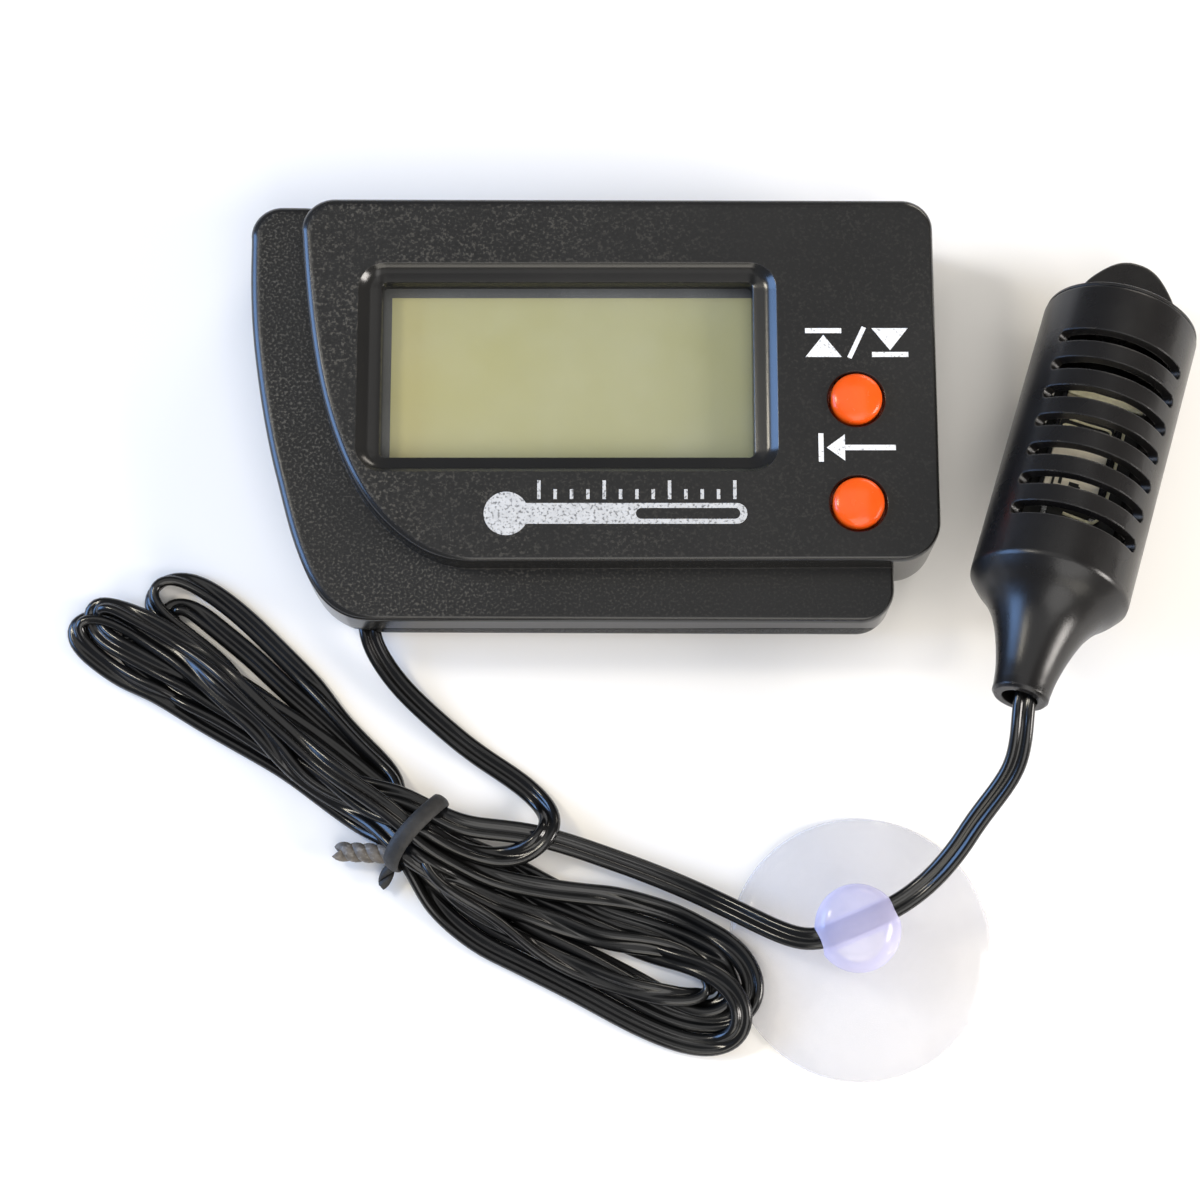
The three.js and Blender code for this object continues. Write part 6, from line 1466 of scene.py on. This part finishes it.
def probe_cap():
    """End cap with a rounded tab and a hole through the tab."""
    radius = PROBE_RADIUS
    cap = lathe([(0, -1.15), (5.2, -1.15), (5.75, -1.08), (7.1, -0.68), (radius - 0.32, -0.5),
                 (radius - 0.12, -0.34), (radius - 0.1, -0.02), (6.55, -0.02), (6.55, 2.6),
                 (5.6, 2.6), (5.6, 0.6), (0, 0.6)], 96, "probe_cap")
    half = [(5.7, -0.8), (5.25, -2.2), (4.5, -3.95), (3.5, -5.4), (2.35, -6.6), (1.2, -7.25)]
    edge = spline(half + [(0, -7.42)] + [(-x, z) for x, z in half[::-1]], 5)
    tab = eased(edge[::-1], -1.1, 1.1, 0.3, 0.3, 4)
    tab.data.transform(Matrix(((1, 0, 0, 0), (0, 0, -1, 0), (0, 1, 0, 0), (0, 0, 0, 1))))
    join(cap, tab)
    cut(cap, rod_y(0, -3.3, 0.9, -3, 3))
    finish(cap, "probe", "probe", ["probe_end_cap"], placing=PROBE_PLACING)


def wire(name, points, radius):
    piece = sweep(name, spline(points, 6), (0.0, 1.0, 0.0), circle(0, 0, radius, 12))
    finish(piece, "trace", "probe", placing=PROBE_PLACING, weighted=False, angle=60)


def probe_insides():
    """What shows through the slots: dark prints, a pale hairpin, a fine wire and a header."""
    field = block(-3.38, 1.98, 1.39, 1.42, 11.5, 14.9)
    field.name = "sensor_field"
    finish(field, "gasket", "probe", placing=PROBE_PLACING, weighted=False)
    y = 1.47
    wire("sensor_hairpin", [
        (-1.6, y, 14.7), (-2.9, y, 14.0), (-3.05, y, 13.55), (-2.6, y, 13.25), (0.0, y, 13.3),
        (1.3, y, 13.3), (1.7, y, 12.95), (1.3, y, 12.6), (-1.0, y, 12.6), (-2.6, y, 12.55)], 0.13)
    wire("sensor_wire", [
        (2.93, 1.35, 11.6), (2.95, 1.4, 14.0), (2.97, 1.4, 17.5), (2.93, 1.4, 20.6),
        (2.75, 1.4, 22.1), (2.1, 1.4, 22.95), (0.8, 1.4, 22.95), (-0.84, 1.35, 22.8)], 0.17)
    header = eased(round_rect(0.35, 9.6, 3.85, 0.42, 0.2, 4), 1.78, 2.05, 0.05, 0.08, 2,
                   "sensor_header")
    lay_along_y(header, 0, 19.2)
    finish(header, "trace", "probe", placing=PROBE_PLACING, weighted=False)
    # Dark patches: x, z, half width, half height.
    patches = [(-0.5, 19.5, 0.5, 0.22), (-0.15, 19.85, 0.32, 0.3),
               (-1.9, 19.3, 0.16, 0.5), (-2.6, 19.7, 0.12, 0.55)]
    dark = None
    for x, z, half_x, half_z in patches:
        patch = block(x - half_x, x + half_x, 1.39, 1.425, z - half_z, z + half_z)
        if dark is None:
            dark = patch
            dark.name = "sensor_print"
        else:
            join(dark, patch)
    finish(dark, "gasket", "probe", placing=PROBE_PLACING, weighted=False)


# ------------------------------------------------------------------ floor, lights, camera
def studio_floor():
    paint = Surface("floor_paint")
    paint.shade({"Base Color": (0.90, 0.88, 0.845), "Roughness": 0.9, "Specular IOR Level": 0.1})
    half, z = 900, -0.05
    floor = make_object("floor", [(-half, -half, z), (half, -half, z), (half, half, z),
                                  (-half, half, z)], [(0, 1, 2, 3)])
    floor.data.transform(Matrix.Scale(MM, 4))
    floor.data.materials.append(paint.material)


# Area lights, metres and watts: name, place, target, (width, height), power, colour.
LIGHTS = [
    ("overhead", (0.0, 0.135, 0.585), (0.0, 0.0, 0.0), (0.52, 0.52), 0.66, (1.0, 0.985, 0.96)),
    ("window_left", (-0.44, 0.05, 0.17), (-0.01, 0.0, 0.0), (0.30, 0.27), 2.4, (0.29, 0.52, 1.0)),
    ("lamp", (-0.27, 0.10, 0.37), (0.0, 0.0, 0.0), (0.075, 0.075), 0.62, (1.0, 0.93, 0.78)),
    ("front_warm", (0.06, -0.44, 0.19), (0.0, 0.0, 0.0), (0.30, 0.13), 0.45, (1.0, 0.95, 0.84)),
    ("fill_front", (0.10, -0.42, 0.60), (0.0, 0.0, 0.0), (0.50, 0.50), 2.0, (1.0, 0.98, 0.95)),
    ("rim_back", (0.26, 0.44, 0.17), (0.02, 0.0, 0.0), (0.24, 0.14), 0.75, (1.0, 0.93, 0.82)),
    ("right_low", (0.44, -0.12, 0.20), (0.02, 0.0, 0.0), (0.20, 0.16), 2.0, (1.0, 0.95, 0.90)),
]


def studio():
    scene = bpy.context.scene
    world = bpy.data.worlds.new("studio")
    scene.world = world
    world.use_nodes = True
    background = world.node_tree.nodes["Background"]
    background.inputs["Color"].default_value = (0.96, 0.97, 1.0, 1)
    background.inputs["Strength"].default_value = 0.20

    for name, place, target, (width, height), power, color in LIGHTS:
        light = bpy.data.lights.new(name, "AREA")
        light.shape = "RECTANGLE"
        light.size = width
        light.size_y = height
        light.energy = power
        light.color = color
        lamp = bpy.data.objects.new(name, light)
        lamp.location = place
        aim = Vector(target) - Vector(place)
        lamp.rotation_euler = aim.to_track_quat("-Z", "Y").to_euler()
        scene.collection.objects.link(lamp)

    lens = bpy.data.cameras.new("camera")
    lens.sensor_width = 36.0
    lens.lens = 80.88
    lens.clip_start = 0.005
    lens.clip_end = 10.0
    camera = bpy.data.objects.new("camera", lens)
    camera.location = (0.000986, -0.07845, 0.26795)
    camera.rotation_euler = (math.radians(13.0), 0.0, 0.0)
    scene.collection.objects.link(camera)
    scene.camera = camera
    scene.view_settings.view_transform = "Standard"
    scene.view_settings.look = "None"


front_case()
rear_case()
battery_door()
display_shade_border()
buttons()
printed_marks()
twin_lead()
twist_tie()
suction_cup()
probe_sleeve()
probe_cap()
probe_insides()
studio_floor()
studio()
bpy.context.view_layer.update()
